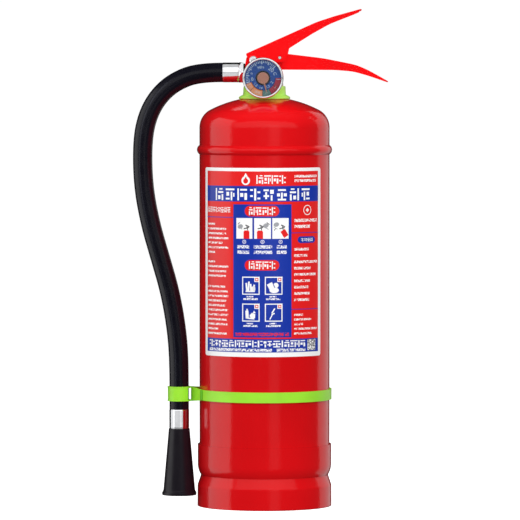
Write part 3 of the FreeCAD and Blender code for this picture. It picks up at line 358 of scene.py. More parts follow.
def finish_for(slot):
    """The finish that a record slot stands for, made once."""
    if slot in FINISHES:
        return FINISHES[slot]
    paint = bpy.context.scene.extinguisher_paint
    label = bpy.context.scene.extinguisher_label
    face = bpy.context.scene.extinguisher_gauge.face
    makers = {
        "body_paint": lambda: enamel("cylinder_enamel", paint.body, paint.gloss, 1.0),
        "handle_paint": lambda: enamel("handle_enamel", paint.handles, 0.5, 0.25, 0.8),
        "green_plastic": lambda: moulded("lime_plastic", paint.lime, 0.36, 900.0, 0.08, inside=0.12),
        "brass": lambda: plated("forged_brass", (0.72, 0.50, 0.19), 0.30, stretch=(1, 1, 1)),
        "chrome": lambda: plated("bright_chrome", (0.83, 0.84, 0.86), 0.09),
        "steel": lambda: plated("zinc_steel", (0.52, 0.53, 0.55), 0.28),
        "spring_steel": lambda: plated("spring_steel", (0.38, 0.39, 0.41), 0.25),
        "hose_rubber": lambda: moulded("hose_rubber", (0.0040, 0.0038, 0.0075), 0.25, 500.0, 0.03, 0.01),
        "seal_rubber": lambda: moulded("seal_rubber", (0.02, 0.02, 0.02), 0.6),
        "black_plastic": lambda: moulded("nozzle_plastic", (0.008, 0.006, 0.010), 0.34, 800.0, 0.16),
        "pale_plastic": lambda: moulded("siphon_plastic", (0.78, 0.78, 0.75), 0.5),
        "powder": lambda: moulded("pale_powder", (0.80, 0.78, 0.62), 0.9, 500.0, 0.8),
        "clear_lens": lambda: lens_glass("gauge_lens"),
        "dial_blue": lambda: print_ink("dial_blue", face),
        "dial_orange": lambda: print_ink("dial_orange", (0.92, 0.38, 0.19)),
        "dial_green": lambda: print_ink("dial_green", (0.13, 0.25, 0.23)),
        "dial_red": lambda: print_ink("dial_red", (0.44, 0.05, 0.08)),
        "copper": lambda: plated("copper_alloy", (0.62, 0.30, 0.215), 0.5, stretch=(1, 1, 1), metal=0.15),
        "label_white": lambda: print_ink("label_white", PAPER_WHITE),
        "label_blue": lambda: print_ink("label_blue", label.blue),
        "label_red": lambda: print_ink("label_red", label.red),
        "label_dark": lambda: print_ink("label_dark", (0.03, 0.03, 0.035)),
    }
    FINISHES[slot] = makers[slot]()
    return FINISHES[slot]


# ---------------------------------------------------------------- stage and finishes

def area_lamp(name, size, place, power):
    """A rectangular lamp that the camera doesn't see, still facing down."""
    only()
    bpy.ops.object.light_add(type="AREA", location=place)
    lamp = bpy.context.object
    lamp.name = name
    lamp.data.shape = "RECTANGLE"
    lamp.data.size, lamp.data.size_y = size
    lamp.data.energy = power
    lamp.visible_camera = False
    return lamp


class EXTINGUISHER_OT_stage(bpy.types.Operator):
    """Pale floor, soft panels of light and the camera"""
    bl_idname = "extinguisher.stage"
    bl_label = "Studio"

    def panel(self, name, size, place, target, power, seen_in_gloss=True):
        lamp = area_lamp(name, size, place, power)
        lamp.rotation_mode = "QUATERNION"
        lamp.rotation_quaternion = (Vector(target) - Vector(place)).to_track_quat("-Z", "Y")
        lamp.visible_glossy = seen_in_gloss

    def floor(self):
        only()
        bpy.ops.mesh.primitive_circle_add(vertices=160, radius=2.2, fill_type="NGON", location=(0, 0, 0))
        floor = bpy.context.object
        floor.name = "studio_floor"
        mat, tree, surface = shader("pale_floor", Roughness=0.7, Emission_Strength=0.85)
        tone = ramp(tree, grain(tree, coordinates(tree), 6.0), [(0.3, grey(0.80)), (0.7, grey(0.84))])
        link(tree, tone, surface.inputs["Base Color"])
        surface.inputs["Emission Color"].default_value = grey(1)
        floor.data.materials.append(mat)
        floor.visible_glossy = False
        floor.visible_diffuse = False

    def air(self):
        """White round about to look at, and dimmer light for what shines."""
        world = bpy.data.worlds.new("studio_air")
        bpy.context.scene.world = world
        world.use_nodes = True
        tree = world.node_tree
        tree.nodes.clear()
        path = node(tree, "ShaderNodeLightPath")
        seen, shine, fill = [node(tree, "ShaderNodeBackground", {"Color": grey(1), "Strength": strength})
                             for strength in (1.02, 0.015, 0.30)]
        by_gloss = node(tree, "ShaderNodeMixShader")
        by_eye = node(tree, "ShaderNodeMixShader")
        out = node(tree, "ShaderNodeOutputWorld")
        link(tree, path.outputs["Is Glossy Ray"], by_gloss.inputs[0])
        link(tree, fill.outputs[0], by_gloss.inputs[1])
        link(tree, shine.outputs[0], by_gloss.inputs[2])
        link(tree, path.outputs["Is Camera Ray"], by_eye.inputs[0])
        link(tree, by_gloss.outputs[0], by_eye.inputs[1])
        link(tree, seen.outputs[0], by_eye.inputs[2])
        link(tree, by_eye.outputs[0], out.inputs["Surface"])

    def camera(self, studio):
        aim = Vector((-0.0045, 0, 0.246))
        back = Vector((0, -math.cos(studio.pitch), math.sin(studio.pitch)))
        bpy.ops.object.camera_add(location=aim + back * studio.distance)
        camera = bpy.context.object
        camera.name = "studio_camera"
        camera.data.lens = studio.lens
        camera.data.sensor_width = 36
        camera.rotation_mode = "QUATERNION"
        camera.rotation_quaternion = (-back).to_track_quat("-Z", "Y")
        bpy.context.scene.camera = camera

    def execute(self, context):
        self.floor()
        self.air()
        middle = (0, 0, 0.25)
        self.panel("left_softbox", (0.95, 1.7), (-1.0, -0.08, 0.36), (0, 0, 0.36), 5.0)
        self.panel("right_softbox", (0.87, 1.7), (0.755, 0.656, 0.36), (0, 0, 0.36), 2.9)
        self.panel("front_strip", (0.5, 1.2), (0.47, -1.53, 0.30), (0, 0, 0.30), 0.4)
        self.panel("top_softbox", (1.3, 1.0), (0.1, -0.25, 1.55), (0, 0, 0.3), 10, False)
        self.panel("front_band", (6.0, 1.5), (0.2, -1.9, 1.35), (0.2, 0, 1.35), 11)
        self.panel("front_fill", (2.2, 1.6), (0.35, -2.3, 0.9), middle, 44, False)
        self.camera(context.scene.extinguisher_studio)
        context.scene.view_settings.view_transform = "Standard"
        return {"FINISHED"}


class EXTINGUISHER_OT_finishes(bpy.types.Operator):
    """Gives every carried-over part the finish that its slot names"""
    bl_idname = "extinguisher.finishes"
    bl_label = "Part finishes"

    def execute(self, context):
        for row in frame["record"]["subparts"]:
            part = CAD[row["node"]]
            part.data.materials.clear()
            part.data.materials.append(finish_for(row["material_slot"]))
        paint = context.scene.extinguisher_paint
        # Painted light: a paler, more translucent lime on the collar lifts the shade under the gauge.
        collar_lightened = moulded("collar_plastic_lit_against_shade", paint.collar_lightened, 0.34, 900.0, 0.06, inside=0.3)
        CAD["neck_collar"].data.materials[0] = collar_lightened
        return {"FINISHED"}


# ---------------------------------------------------------------- hose and its fittings

class EXTINGUISHER_OT_hose(bpy.types.Operator):
    """The rubber discharge hose, as one smooth curve from the valve down to the nozzle"""
    bl_idname = "extinguisher.hose"
    bl_label = "Hose"

    def execute(self, context):
        settings = context.scene.extinguisher_hose
        route = [(-0.0418, 0.4335), (-0.0660, 0.4335), (-0.0900, 0.4242), (-0.1065, 0.4093),
                 (-0.1170, 0.3900), (-0.1220, 0.3650), (-0.1214, 0.3220), (-0.1144, 0.2830),
                 (-0.1036, 0.2460), (-0.0954, 0.2175), (-0.0898, 0.1890), (-0.0863, 0.1600),
                 (-0.0854, 0.1285), (-0.0854, 0.0965)]
        curve = bpy.data.curves.new("rubber_hose", "CURVE")
        curve.dimensions = "3D"
        line = curve.splines.new("NURBS")
        line.points.add(len(route) - 1)
        for point, (x, z) in zip(line.points, route):
            point.co = (x, 0, z, 1)
        line.order_u = 3
        line.use_endpoint_u = True
        line.resolution_u = 16
        curve.bevel_depth = settings.diameter / 2
        curve.bevel_resolution = 14
        hose = bpy.data.objects.new("rubber_hose", curve)
        context.scene.collection.objects.link(hose)
        curve.materials.append(finish_for("hose_rubber"))
        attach(hose, "extinguisher")
        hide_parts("hose")
        return {"FINISHED"}


# ---------------------------------------------------------------- ferrules

class EXTINGUISHER_OT_ferrules(bpy.types.Operator):
    """Plated ferrules at both ends of the hose"""
    bl_idname = "extinguisher.ferrules"
    bl_label = "Ferrules"

    def sleeve(self, name, length, grooves):
        """Stations up the outside with rolled ends and any pressed grooves, then back down the bore."""
        bore, outer = FERRULE_BORE, FERRULE_R
        stations = [(bore, 0), (outer - 0.7, 0), (outer - 0.2, 0.25), (outer, 0.8), (outer, 1.4)]
        first, last = 2.6, length - 3.0
        for i in range(grooves):
            z = first + (last - first) * i / max(1, grooves - 1)
            stations += [(outer, z - 0.75), (outer - 0.10, z - 0.4), (outer - 0.10, z + 0.4),
                         (outer, z + 0.75)]
        stations += [(outer, length - 1.4), (outer, length - 0.8), (outer - 0.2, length - 0.25),
                     (outer - 0.7, length), (bore, length), (bore, 0)]
        return turned(name, stations, 96)

    def execute(self, context):
        grooves = context.scene.extinguisher_hose.crimps
        chrome = finish_for("chrome")
        low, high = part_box("upper_ferrule")
        upper = self.sleeve("crimped_upper_ferrule", (high.x - low.x) / MM, grooves)
        stand(upper, (0, -90, 0), (high.x / MM, 0, (low.z + high.z) / 2 / MM))
        smooth(upper, 50)
        finish(upper, chrome, instead=["upper_ferrule"])
        low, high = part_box("lower_ferrule")
        lower = self.sleeve("crimped_lower_ferrule", (high.z - low.z) / MM, grooves)
        stand(lower, (0, 0, 0), ((low.x + high.x) / 2 / MM, 0, low.z / MM))
        smooth(lower, 50)
        finish(lower, chrome, instead=["lower_ferrule"])
        return {"FINISHED"}


# ---------------------------------------------------------------- gauge

class EXTINGUISHER_OT_gauge(bpy.types.Operator):
    """Rolled bezel, printed dial face and the turned well round the needle's hub"""
    bl_idname = "extinguisher.gauge"
    bl_label = "Pressure gauge"

    def middle(self):
        low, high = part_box("gauge_dial")
        return (low.x + high.x) / 2 / MM, (low.z + high.z) / 2 / MM, low.y / MM

    def face_on(self, piece, forward):
        """Stands a piece drawn flat, x across and y up, on the dial, its height towards the front."""
        x, z, _ = self.middle()
        return stand(piece, (90, 0, 0), (x, forward, z))

    def sector(self, name, inner, outer, start, sweep, height=0.0):
        """A flat band of a ring, spun from one short edge."""
        only()
        width = (outer - inner) * MM
        bpy.ops.mesh.primitive_plane_add(size=width,
                                         location=((inner + outer) / 2 * MM, width / 2, height * MM))
        piece = bpy.context.object
        piece.name = name
        apply_place(piece)
        edit(piece)
        bpy.ops.mesh.select_all(action="DESELECT")
        only(piece)
        for corner in piece.data.vertices:
            corner.select = corner.co.y > width / 2
        bpy.ops.object.mode_set(mode="EDIT")
        bpy.ops.mesh.delete(type="VERT")
        bpy.ops.mesh.select_all(action="SELECT")
        bpy.ops.mesh.spin(steps=max(2, int(abs(sweep) / 3)), angle=-math.radians(sweep), center=(0, 0, 0),
                          axis=(0, 0, 1))
        bpy.ops.mesh.select_all(action="SELECT")
        bpy.ops.mesh.remove_doubles(threshold=1e-6)
        only(piece)
        stand(piece, (0, 0, start))
        return self.front_up(piece)

    def front_up(self, piece):
        """Faces drawn flat look up, towards the viewer once stood up."""
        edit(piece, "FACE")
        bpy.ops.mesh.normals_make_consistent(inside=False)
        only(piece)
        if piece.data.polygons[0].normal.z < 0:
            edit(piece, "FACE")
            bpy.ops.mesh.flip_normals()
            only(piece)
        return piece

    def tick(self, name, angle, inner, outer, width, height=0.05):
        only()
        bpy.ops.mesh.primitive_plane_add(size=MM, location=(0, 0, 0))
        mark = bpy.context.object
        mark.name = name
        mark.scale = (outer - inner, width, 1)
        mark.location = ((inner + outer) / 2 * MM, 0, height * MM)
        apply_place(mark)
        return stand(mark, (0, 0, angle))

    def figure(self, words, at, size, turn=0, height=0.05):
        only()
        bpy.ops.object.text_add(location=(0, 0, 0))
        text = bpy.context.object
        text.data.body = words
        text.data.size = size * MM
        text.data.align_x = "CENTER"
        text.data.align_y = "CENTER"
        text.data.resolution_u = 3
        bpy.ops.object.convert(target="MESH")
        text = bpy.context.object
        text.rotation_euler = (0, 0, math.radians(turn))
        text.location = (at[0] * MM, at[1] * MM, height * MM)
        apply_place(text)
        return text

    def bezel(self):
        back, front = 32.7, 40.5
        outside = [(19.3, back), (20.1, back), (20.4, back + 0.4), (20.4, front - 2.0), (20.3, front - 1.1)]
        roll = [(19.9, front - 0.4), (19.3, front - 0.05), (18.8, front - 0.1), (18.3, front - 0.5)]
        inside = [(18.0, front - 1.1), (17.9, front - 1.8), (18.6, front - 1.9), (19.3, front - 2.2),
                  (19.3, back)]
        rim = turned("rolled_bezel", outside + roll + inside, 144)
        x, z, _ = self.middle()
        stand(rim, (90, 0, 0), (x, 0, z))
        smooth(rim, 60)
        finish(rim, finish_for("chrome"), instead=["gauge_bezel"])

    def printed_face(self, settings):
        _, _, front = self.middle()
        zones = [("orange_zone", 200, 68, "dial_orange"), ("green_zone", 268, 30, "dial_green"),
                 ("red_zone", 298, 62, "dial_red")]
        for name, start, sweep, slot in zones:
            zone = self.sector(name, 12.5, 17.9, start, sweep, 0.02)
            finish(self.face_on(zone, front), finish_for(slot))
        edge = self.sector("orange_edge", 12.1, 12.9, 200, 68, 0.03)
        deep = print_ink("dial_deep_orange", (0.72, 0.20, 0.02))
        finish(self.face_on(edge, front), deep)
        ring = self.sector("zone_border", 11.8, 12.2, 200, 160, 0.03)
        finish(self.face_on(ring, front), print_ink("dial_ink", (0.02, 0.03, 0.09)))
        pale = print_ink("dial_pale_ink", (0.62, 0.80, 0.93))
        marks = []
        for i in range(settings.ticks):
            angle = 196 - i * 152 / (settings.ticks - 1)
            long = i % 4 == 0
            marks.append(self.tick("scale_tick", angle, 13.8 if long else 14.9, 17.1, 0.85 if long else 0.62))
        for angle in (205, 45, 355):
            marks.append(self.tick("zone_tick", angle, 12.9, 17.6, 0.35, 0.06))
        for words, at, size, turn in (("MPa", (-2.2, 10.4), 3.8, 10), ("20", (7.9, 8.4), 5.6, -38),
                                      ("C", (11.6, 4.2), 4.4, -60), ("0", (-11.2, 4.4), 3.4, 70),
                                      ("1.0", (-12.2, -1.6), 4.6, 14), ("1.2", (-7.4, -6.6), 3.4, -40),
                                      ("1.5", (4.9, -8.6), 3.4, 28), ("2", (8.9, -4.4), 3.8, 56),
                                      ("14", (-2.2, -9.8), 3.4, -12)):
            marks.append(self.figure(words, at, size, turn))
        scale = join("dial_scale", *marks)
        finish(self.face_on(scale, front), pale)
        dark = [self.tick("divider", a, 12.3, 17.8, 0.35, 0.06) for a in (225, 268, 298, 325)]
        dividers = join("zone_dividers", *dark)
        finish(self.face_on(dividers, front), finish_for("label_dark"))
        small = [("000", (-5.6, -14.1), 3.6, -20), ("11", (-12.4, -8.8), 2.2, -55),
                 ("111", (3.4, -14.9), 1.8, 12), ("111", (12.2, -9.2), 2.0, 52)]
        notes = join("zone_marks", *[self.figure(*one, 0.07) for one in small])
        finish(self.face_on(notes, front), print_ink("zone_ink", (0.80, 0.72, 0.66)))

    def well(self):
        """Turned grey ring round the needle's hub."""
        _, _, front = self.middle()
        ring = turned("dial_well", [(5.95, 0.35), (6.2, 0.55), (6.9, 0.6), (7.35, 0.35), (7.35, 0.05),
                                    (5.95, 0.05), (5.95, 0.35)], 96)
        smooth(ring, 50)
        well = plated("well_metal", (0.30, 0.31, 0.33), 0.35)
        finish(self.face_on(ring, front), well)

    def execute(self, context):
        self.bezel()
        self.printed_face(context.scene.extinguisher_gauge)
        self.well()
        return {"FINISHED"}


# ---------------------------------------------------------------- label

class EXTINGUISHER_OT_label(bpy.types.Operator):
    """Printed film label with panels, picture boxes and rows of unreadable small print"""
    bl_idname = "extinguisher.label"
    bl_label = "Label"

    inks = ("white", "blue", "red", "dark", "fine_on_red", "fine_on_blue", "red_on_blue", "fine_on_white",
            "grey")
    left, right, bottom, top = -65.0, 65.2, 157.1, 336.2
    middle_left, middle_right = -28.9, 30.8

    def patch(self, x0, x1, z0, z1, ink, layer, turn=0):
        """One inked rectangle, in millimetres across and up."""
        place = Vector(((x0 + x1) / 2 * MM, -PRINT_STEP * MM * layer, (z0 + z1) / 2 * MM))
        bpy.ops.mesh.primitive_plane_add(size=MM, location=place, rotation=(math.pi / 2, 0, 0))
        bpy.ops.transform.resize(value=(x1 - x0, 1, z1 - z0), center_override=place)
        self.ink_and_turn(ink, turn, place)

    def round_patch(self, x, z, radius, ink, layer, sides=24, turn=0, squash=1.0):
        place = Vector((x * MM, -PRINT_STEP * MM * layer, z * MM))
        bpy.ops.mesh.primitive_circle_add(vertices=sides, radius=radius * MM, fill_type="NGON",
                                          location=place, rotation=(math.pi / 2, 0, 0))
        bpy.ops.transform.resize(value=(squash, 1, 1), center_override=place)
        self.ink_and_turn(ink, turn, place)

    def ink_and_turn(self, ink, turn, place):
        if turn:
            bpy.ops.transform.rotate(value=math.radians(turn), orient_axis="Y", center_override=place)
        bpy.context.object.active_material_index = self.inks.index(ink)
        bpy.ops.object.material_slot_assign()

    def pill(self, x0, x1, z0, z1, ink, layer):
        r = (z1 - z0) / 2
        self.patch(x0 + r, x1 - r, z0, z1, ink, layer)
        for x in (x0 + r, x1 - r):
            self.round_patch(x, z0 + r, r, ink, layer, 24)

    def bar_mark(self, x, z, width, height, kind, ink, layer):
        """An abstract mark of a few strokes, standing in for one large printed sign."""
        bar = max(0.5, height * 0.15) / height
        kinds = [
            [(0.40, 0.60, 0, 1), (0, 0.28, 0.62, 0.62 + bar), (0.72, 1, 0.30, 0.30 + bar),
             (0, 0.28, 0.1, 0.1 + bar), (0.72, 1, 0.80, 0.80 + bar)],
            [(0, 0.17, 0, 1), (0.30, 1, 0.82, 0.82 + bar), (0.30, 0.62, 0.30, 0.62), (0.74, 1, 0.05, 0.62)],
            [(0, 1, 0.84, 0.84 + bar), (0.08, 0.40, 0.38, 0.70), (0.58, 0.76, 0, 0.72),
             (0, 0.45, 0.06, 0.06 + bar), (0.86, 1, 0.3, 0.62)],
            [(0.82, 1, 0, 1), (0, 0.66, 0.60, 0.60 + bar), (0, 0.20, 0, 0.50), (0.36, 0.66, 0.08, 0.40),
             (0.1, 0.5, 0.88, 0.88 + bar)],
            [(0.10, 0.90, 0.80, 0.80 + bar), (0, 0.30, 0.34, 0.60), (0.40, 0.58, 0.10, 0.66),
             (0.68, 1, 0.34, 0.60), (0.08, 0.92, 0, bar)],
            [(0, 0.36, 0.56, 0.90), (0.12, 0.30, 0, 0.44), (0.50, 1, 0.78, 0.78 + bar),
             (0.66, 0.84, 0.12, 0.70), (0.46, 1, 0.30, 0.30 + bar)],
        ]
        for a, b, c, d in kinds[kind % len(kinds)]:
            if kind % 4 > 1:
                a, b = 1 - b, 1 - a
            self.patch(x + a * width, x + b * width, z + c * height, z + min(1, d) * height, ink, layer)

    def marks(self, x0, x1, z0, z1, count, ink, layer, gap=0.22):
        step = (x1 - x0) / count
        for i in range(count):
            kind = i * 5 + count + int(z0)
            self.bar_mark(x0 + i * step + step * gap / 2, z0, step * (1 - gap), z1 - z0, kind, ink, layer)

    def rows(self, x0, x1, top, pitch, height, spans, ink, layer=3):
        """Rows of small print; each span is the part of the column that the row fills."""
        for i, part in enumerate(spans):
            z = top - i * pitch
            self.patch(x0, x0 + (x1 - x0) * part, z - height, z, ink, layer)

    def grounds(self):
        self.patch(self.left, self.right, self.bottom, self.top, "red", 1)
        self.patch(self.left, self.right, 306.2, 321.7, "blue", 2)
        self.patch(self.middle_left, self.middle_right, 171.9, 303.6, "blue", 2)
        self.patch(self.left, self.right, self.bottom, 170.4, "blue", 2)

    def header(self):
        self.round_patch(-15.6, 327.0, 4.4, "white", 3, 32)
        self.round_patch(-15.6, 331.2, 3.4, "white", 3, 3, 0)
        self.round_patch(-15.6, 326.6, 2.5, "red", 4, 24)
        self.round_patch(-15.6, 328.9, 2.0, "red", 4, 3, 0)
        self.marks(-5.2, 25.0, 323.8, 332.4, 4, "white", 3, 0.12)
        self.rows(34.0, 62.6, 332.4, 4.3, 2.5, (1.0, 0.96), "fine_on_red")
        self.marks(-52.6, 54.0, 307.4, 319.2, 8, "white", 3, 0.24)

    def left_column(self):
        self.marks(-63.6, -32.0, 295.2, 300.6, 8, "white", 3, 0.16)
        self.patch(self.left, self.middle_left, 290.2, 290.9, "blue", 3)
        self.rows(-63.4, -32.2, 284.6, 4.65, 1.9, (0.36, 0.84, 0.84, 0.92, 0.70, 0.92, 0.36), "fine_on_red")
        self.rows(-63.4, -32.2, 247.2, 4.65, 1.9, (0.36, 0.92, 0.84, 0.84), "fine_on_red")
        self.rows(-63.4, -32.2, 222.6, 4.65, 1.9,
                  (0.80, 0.90, 0.92, 0.84, 0.80, 0.92, 0.92, 0.86, 0.90, 0.50, 0.86), "fine_on_red")

    def right_column(self):
        self.round_patch(49.4, 297.6, 5.0, "white", 3, 32)
        self.round_patch(49.4, 297.6, 4.3, "red", 4, 32)
        self.patch(47.5, 51.3, 296.9, 298.3, "white", 5)
        self.patch(48.7, 50.1, 295.7, 299.5, "white", 5)
        self.rows(34.0, 64.2, 289.0, 6.0, 3.0, (0.96, 0.62), "fine_on_red")
        self.patch(self.middle_right, self.right, 274.9, 275.6, "blue", 3)
        self.pill(37.6, 60.2, 265.0, 271.6, "blue", 3)
        self.marks(41.2, 57.0, 266.6, 270.0, 4, "white", 4, 0.16)
        self.rows(33.6, 63.8, 260.2, 6.25, 2.5, (0.58, 0.52, 0.98, 0.66, 0.92, 0.64, 0.56, 0.62, 0.60),
                  "fine_on_red")
        self.patch(self.middle_right, self.right, 199.2, 199.9, "blue", 3)
        self.rows(33.6, 63.8, 195.0, 4.6, 2.0, (0.34, 0.70, 0.34, 0.98, 0.72), "fine_on_red")

    def how_to_use(self):
        """Three picture boxes with a red cylinder and its lever, numbered by dots."""
        self.pill(-16.6, 18.0, 291.7, 302.2, "red", 3)
        self.marks(-12.8, 14.4, 293.0, 300.8, 4, "white", 4, 0.16)
        for i, x in enumerate((-25.4, -7.0, 11.0)):
            self.patch(x, x + 16.6, 269.6, 290.0, "white", 3)
            if i < 2:
                self.patch(x + (7.6, 2.8)[i], x + (13.6, 8.8)[i], 269.6, 276.8, "red", 4)
                self.patch(x + (8.2, 3.4)[i], x + (13.0, 8.2)[i], 276.8, 277.8, "red", 4)
            else:
                self.patch(x + 9.6, x + 15.0, 271.2, 278.4, "red", 4, 32)
            cx = x + (10.4, 6.0, 9.6)[i]
            self.patch(cx - 2.6, cx + 2.8, 279.6, 280.6, "dark", 4, 14)
            self.patch(cx - 1.0, cx + 3.4, 281.8, 282.8, "dark", 4, -24)
            self.patch(cx + 0.6, cx + 1.4, 278.0, 282.6, "dark", 4, 10)
            self.round_patch(x + (4.2, 11.6, 4.0)[i], 281.6 + i, 2.2, "grey", 4, 12, 20, 1.3)
            self.patch(x + (2.0, 9.4, 1.0)[i], x + (6.6, 14.6, 5.4)[i], 279.8, 280.5, "grey", 5, -30)
            drop = 6 * (i == 2)
            self.patch(x + (1.2, 12.0, 1.4)[i], x + (4.2, 15.6, 3.6)[i], 284.4 - drop, 285.1 - drop,
                       "dark", 5, (40, -35, 60)[i])
            self.round_patch(x + 8.3, 266.6, 1.9, "white", 3, 20)
            self.round_patch(x + 8.3, 266.6, 1.4, "blue", 4, 20)
            self.patch(x + 8.0, x + 8.6, 265.9, 267.3, "white", 5)
        for x0, x1 in ((-24.6, -12.0), (-7.4, 11.0), (15.4, 25.6)):
            self.rows(x0, x1, 263.2, 5.3, 3.2, (1.0, 1.0), "fine_on_blue")

    def used_on(self):
        """Four framed pictures of what burns, each with a red tab."""
        self.pill(-16.6, 18.0, 238.2, 248.6, "red", 3)
        self.marks(-12.8, 14.4, 239.5, 247.3, 4, "white", 4, 0.16)
        for i in range(4):
            x, z = (-19.2, 3.6)[i % 2], (214.3, 187.7)[i // 2]
            self.patch(x, x + 17.6, z, z + 17.8, "white", 3)
            self.patch(x + 1.0, x + 16.6, z + 1.0, z + 16.8, "blue", 4)
            self.patch(x + 12.4, x + 17.2, z + 12.6, z + 17.4, "white", 5)
            self.patch(x + 13.2, x + 16.4, z + 13.4, z + 16.6, "red", 6)
            self.patch(x + 14.0, x + 15.6, z + 14.2, z + 15.8, "white", 7)
            (self.logs, self.can, self.bottle, self.bolt)[i](x + 8.2, z + 7.4)
            self.rows(x + 4.6, x + 13.0, z - 1.2, 2.3, 1.5, (0.8,), "fine_on_blue")
            self.rows(x + 1.2, x + 15.8, z - 3.5, 2.3, 1.7, (1.0,), "fine_on_blue")
        self.patch(-26.6, 28.0, 173.4, 176.6, "red_on_blue", 3)

    def logs(self, x, z):
        for dx, turn, tall in ((-3.6, 6, 8.6), (-1.6, -4, 10.0), (0.6, 3, 7.6), (3.4, -12, 7.0)):
            self.patch(x + dx - 0.8, x + dx + 0.9, z - 4.4, z - 4.4 + tall, "white", 5, turn)
        self.round_patch(x + 3.0, z - 1.6, 2.6, "white", 5, 5, 20)
        self.patch(x - 4.6, x + 4.8, z - 4.8, z - 3.4, "white", 5)

    def can(self, x, z):
        self.patch(x - 5.0, x + 0.6, z - 2.4, z + 4.2, "white", 5, 28)
        self.round_patch(x + 2.8, z + 1.8, 2.6, "white", 5, 16)
        self.round_patch(x + 1.0, z - 3.0, 2.8, "white", 5, 16, 0, 1.7)
        self.patch(x + 0.4, x + 1.2, z - 0.6, z + 3.6, "blue", 6, 24)

    def bottle(self, x, z):
        self.patch(x - 4.8, x - 1.6, z - 4.2, z + 3.4, "white", 5, 3)
        self.patch(x - 3.9, x - 2.5, z + 3.4, z + 5.2, "white", 5)
        self.round_patch(x + 2.4, z - 1.8, 3.2, "white", 5, 5, 15)
        self.round_patch(x + 4.0, z + 1.8, 1.8, "white", 5, 3, 10)
        self.patch(x - 4.6, x + 4.2, z - 4.9, z - 3.6, "white", 5, -6)

    def bolt(self, x, z):
        self.patch(x - 0.5, x + 0.8, z + 0.4, z + 6.0, "white", 5, -32)
        self.patch(x - 1.8, x + 1.6, z - 0.4, z + 0.7, "white", 5, 24)
        self.patch(x - 2.4, x - 1.4, z - 5.6, z + 0.4, "white", 5, -28)

    def footer(self):
        self.marks(-61.4, 47.0, 162.2, 169.0, 12, "white", 3, 0.10)
        self.patch(-61.0, 10.6, 158.0, 160.8, "fine_on_blue", 3)
        self.patch(15.4, 47.0, 158.0, 160.8, "fine_on_blue", 3)
        self.patch(49.4, 60.8, 158.6, 169.4, "fine_on_white", 3)

    def film(self):
        """The white film under the print: a sheet with rounded corners."""
        low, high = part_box("label_sheet")
        only()
        bpy.ops.mesh.primitive_plane_add(size=MM, location=(0, 0, (low.z + high.z) / 2),
                                         rotation=(math.pi / 2, 0, 0))
        sheet = bpy.context.object
        sheet.name = "label_film"
        sheet.scale = (139.2, (high.z - low.z) / MM, 1)
        apply_place(sheet)
        edit(sheet)
        bpy.ops.mesh.bevel(offset=2.6 * MM, segments=6, affect="VERTICES")
        only(sheet)
        return sheet

    def wrap(self, piece, settings, radius, step=1.6):
        """Cuts the flat print into narrow strips, keeps its flat map, and rolls it onto the cylinder."""
        edit(piece)
        reach = max(abs(v.co.x) for v in piece.data.vertices) / MM
        x = -reach + step
        while x < reach:
            bpy.ops.mesh.select_all(action="SELECT")
            bpy.ops.mesh.bisect(plane_co=(x * MM, 0, 0), plane_no=(1, 0, 0))
            x += step
        only(piece)
        mesh = piece.data
        flat = mesh.uv_layers.get("flat") or mesh.uv_layers.new(name="flat")
        for loop in mesh.loops:
            spot = mesh.vertices[loop.vertex_index].co
            flat.data[loop.index].uv = (spot.x, spot.z)
        for vertex in mesh.vertices:
            angle = settings.centre + vertex.co.x / radius
            out = radius - vertex.co.y
            vertex.co.x, vertex.co.y = out * math.sin(angle), -out * math.cos(angle)
        mesh.update()

    def execute(self, context):
        settings = context.scene.extinguisher_label
        low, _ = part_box("label_sheet")
        radius = -low.y
        only()
        bpy.ops.mesh.primitive_plane_add(size=MM, location=(0, 0, 0.2), rotation=(math.pi / 2, 0, 0))
        sheet = bpy.context.object
        sheet.name = "label_print"
        apply_place(sheet)
        for mat in (finish_for("label_white"), finish_for("label_blue"), finish_for("label_red"),
                    finish_for("label_dark"), small_print("fine_white_on_red", PAPER_WHITE, settings.red),
                    small_print("fine_white_on_blue", PAPER_WHITE, settings.blue),
                    small_print("fine_red_on_blue", settings.red, settings.blue),
                    small_print("fine_dark_on_white", (0.10, 0.10, 0.12), PAPER_WHITE),
                    print_ink("label_grey", (0.35, 0.36, 0.38))):
            sheet.data.materials.append(mat)
        edit(sheet)
        bpy.ops.mesh.delete(type="VERT")
        for part in (self.grounds, self.header, self.left_column, self.right_column, self.how_to_use,
                     self.used_on, self.footer):
            part()
        self.wrap(sheet, settings, radius)
        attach(sheet, "extinguisher")
        film = self.film()
        self.wrap(film, settings, radius)
        finish(film, finish_for("label_white"), instead=["label_sheet"])
        return {"FINISHED"}


# ---------------------------------------------------------------- strap clip and weld seam

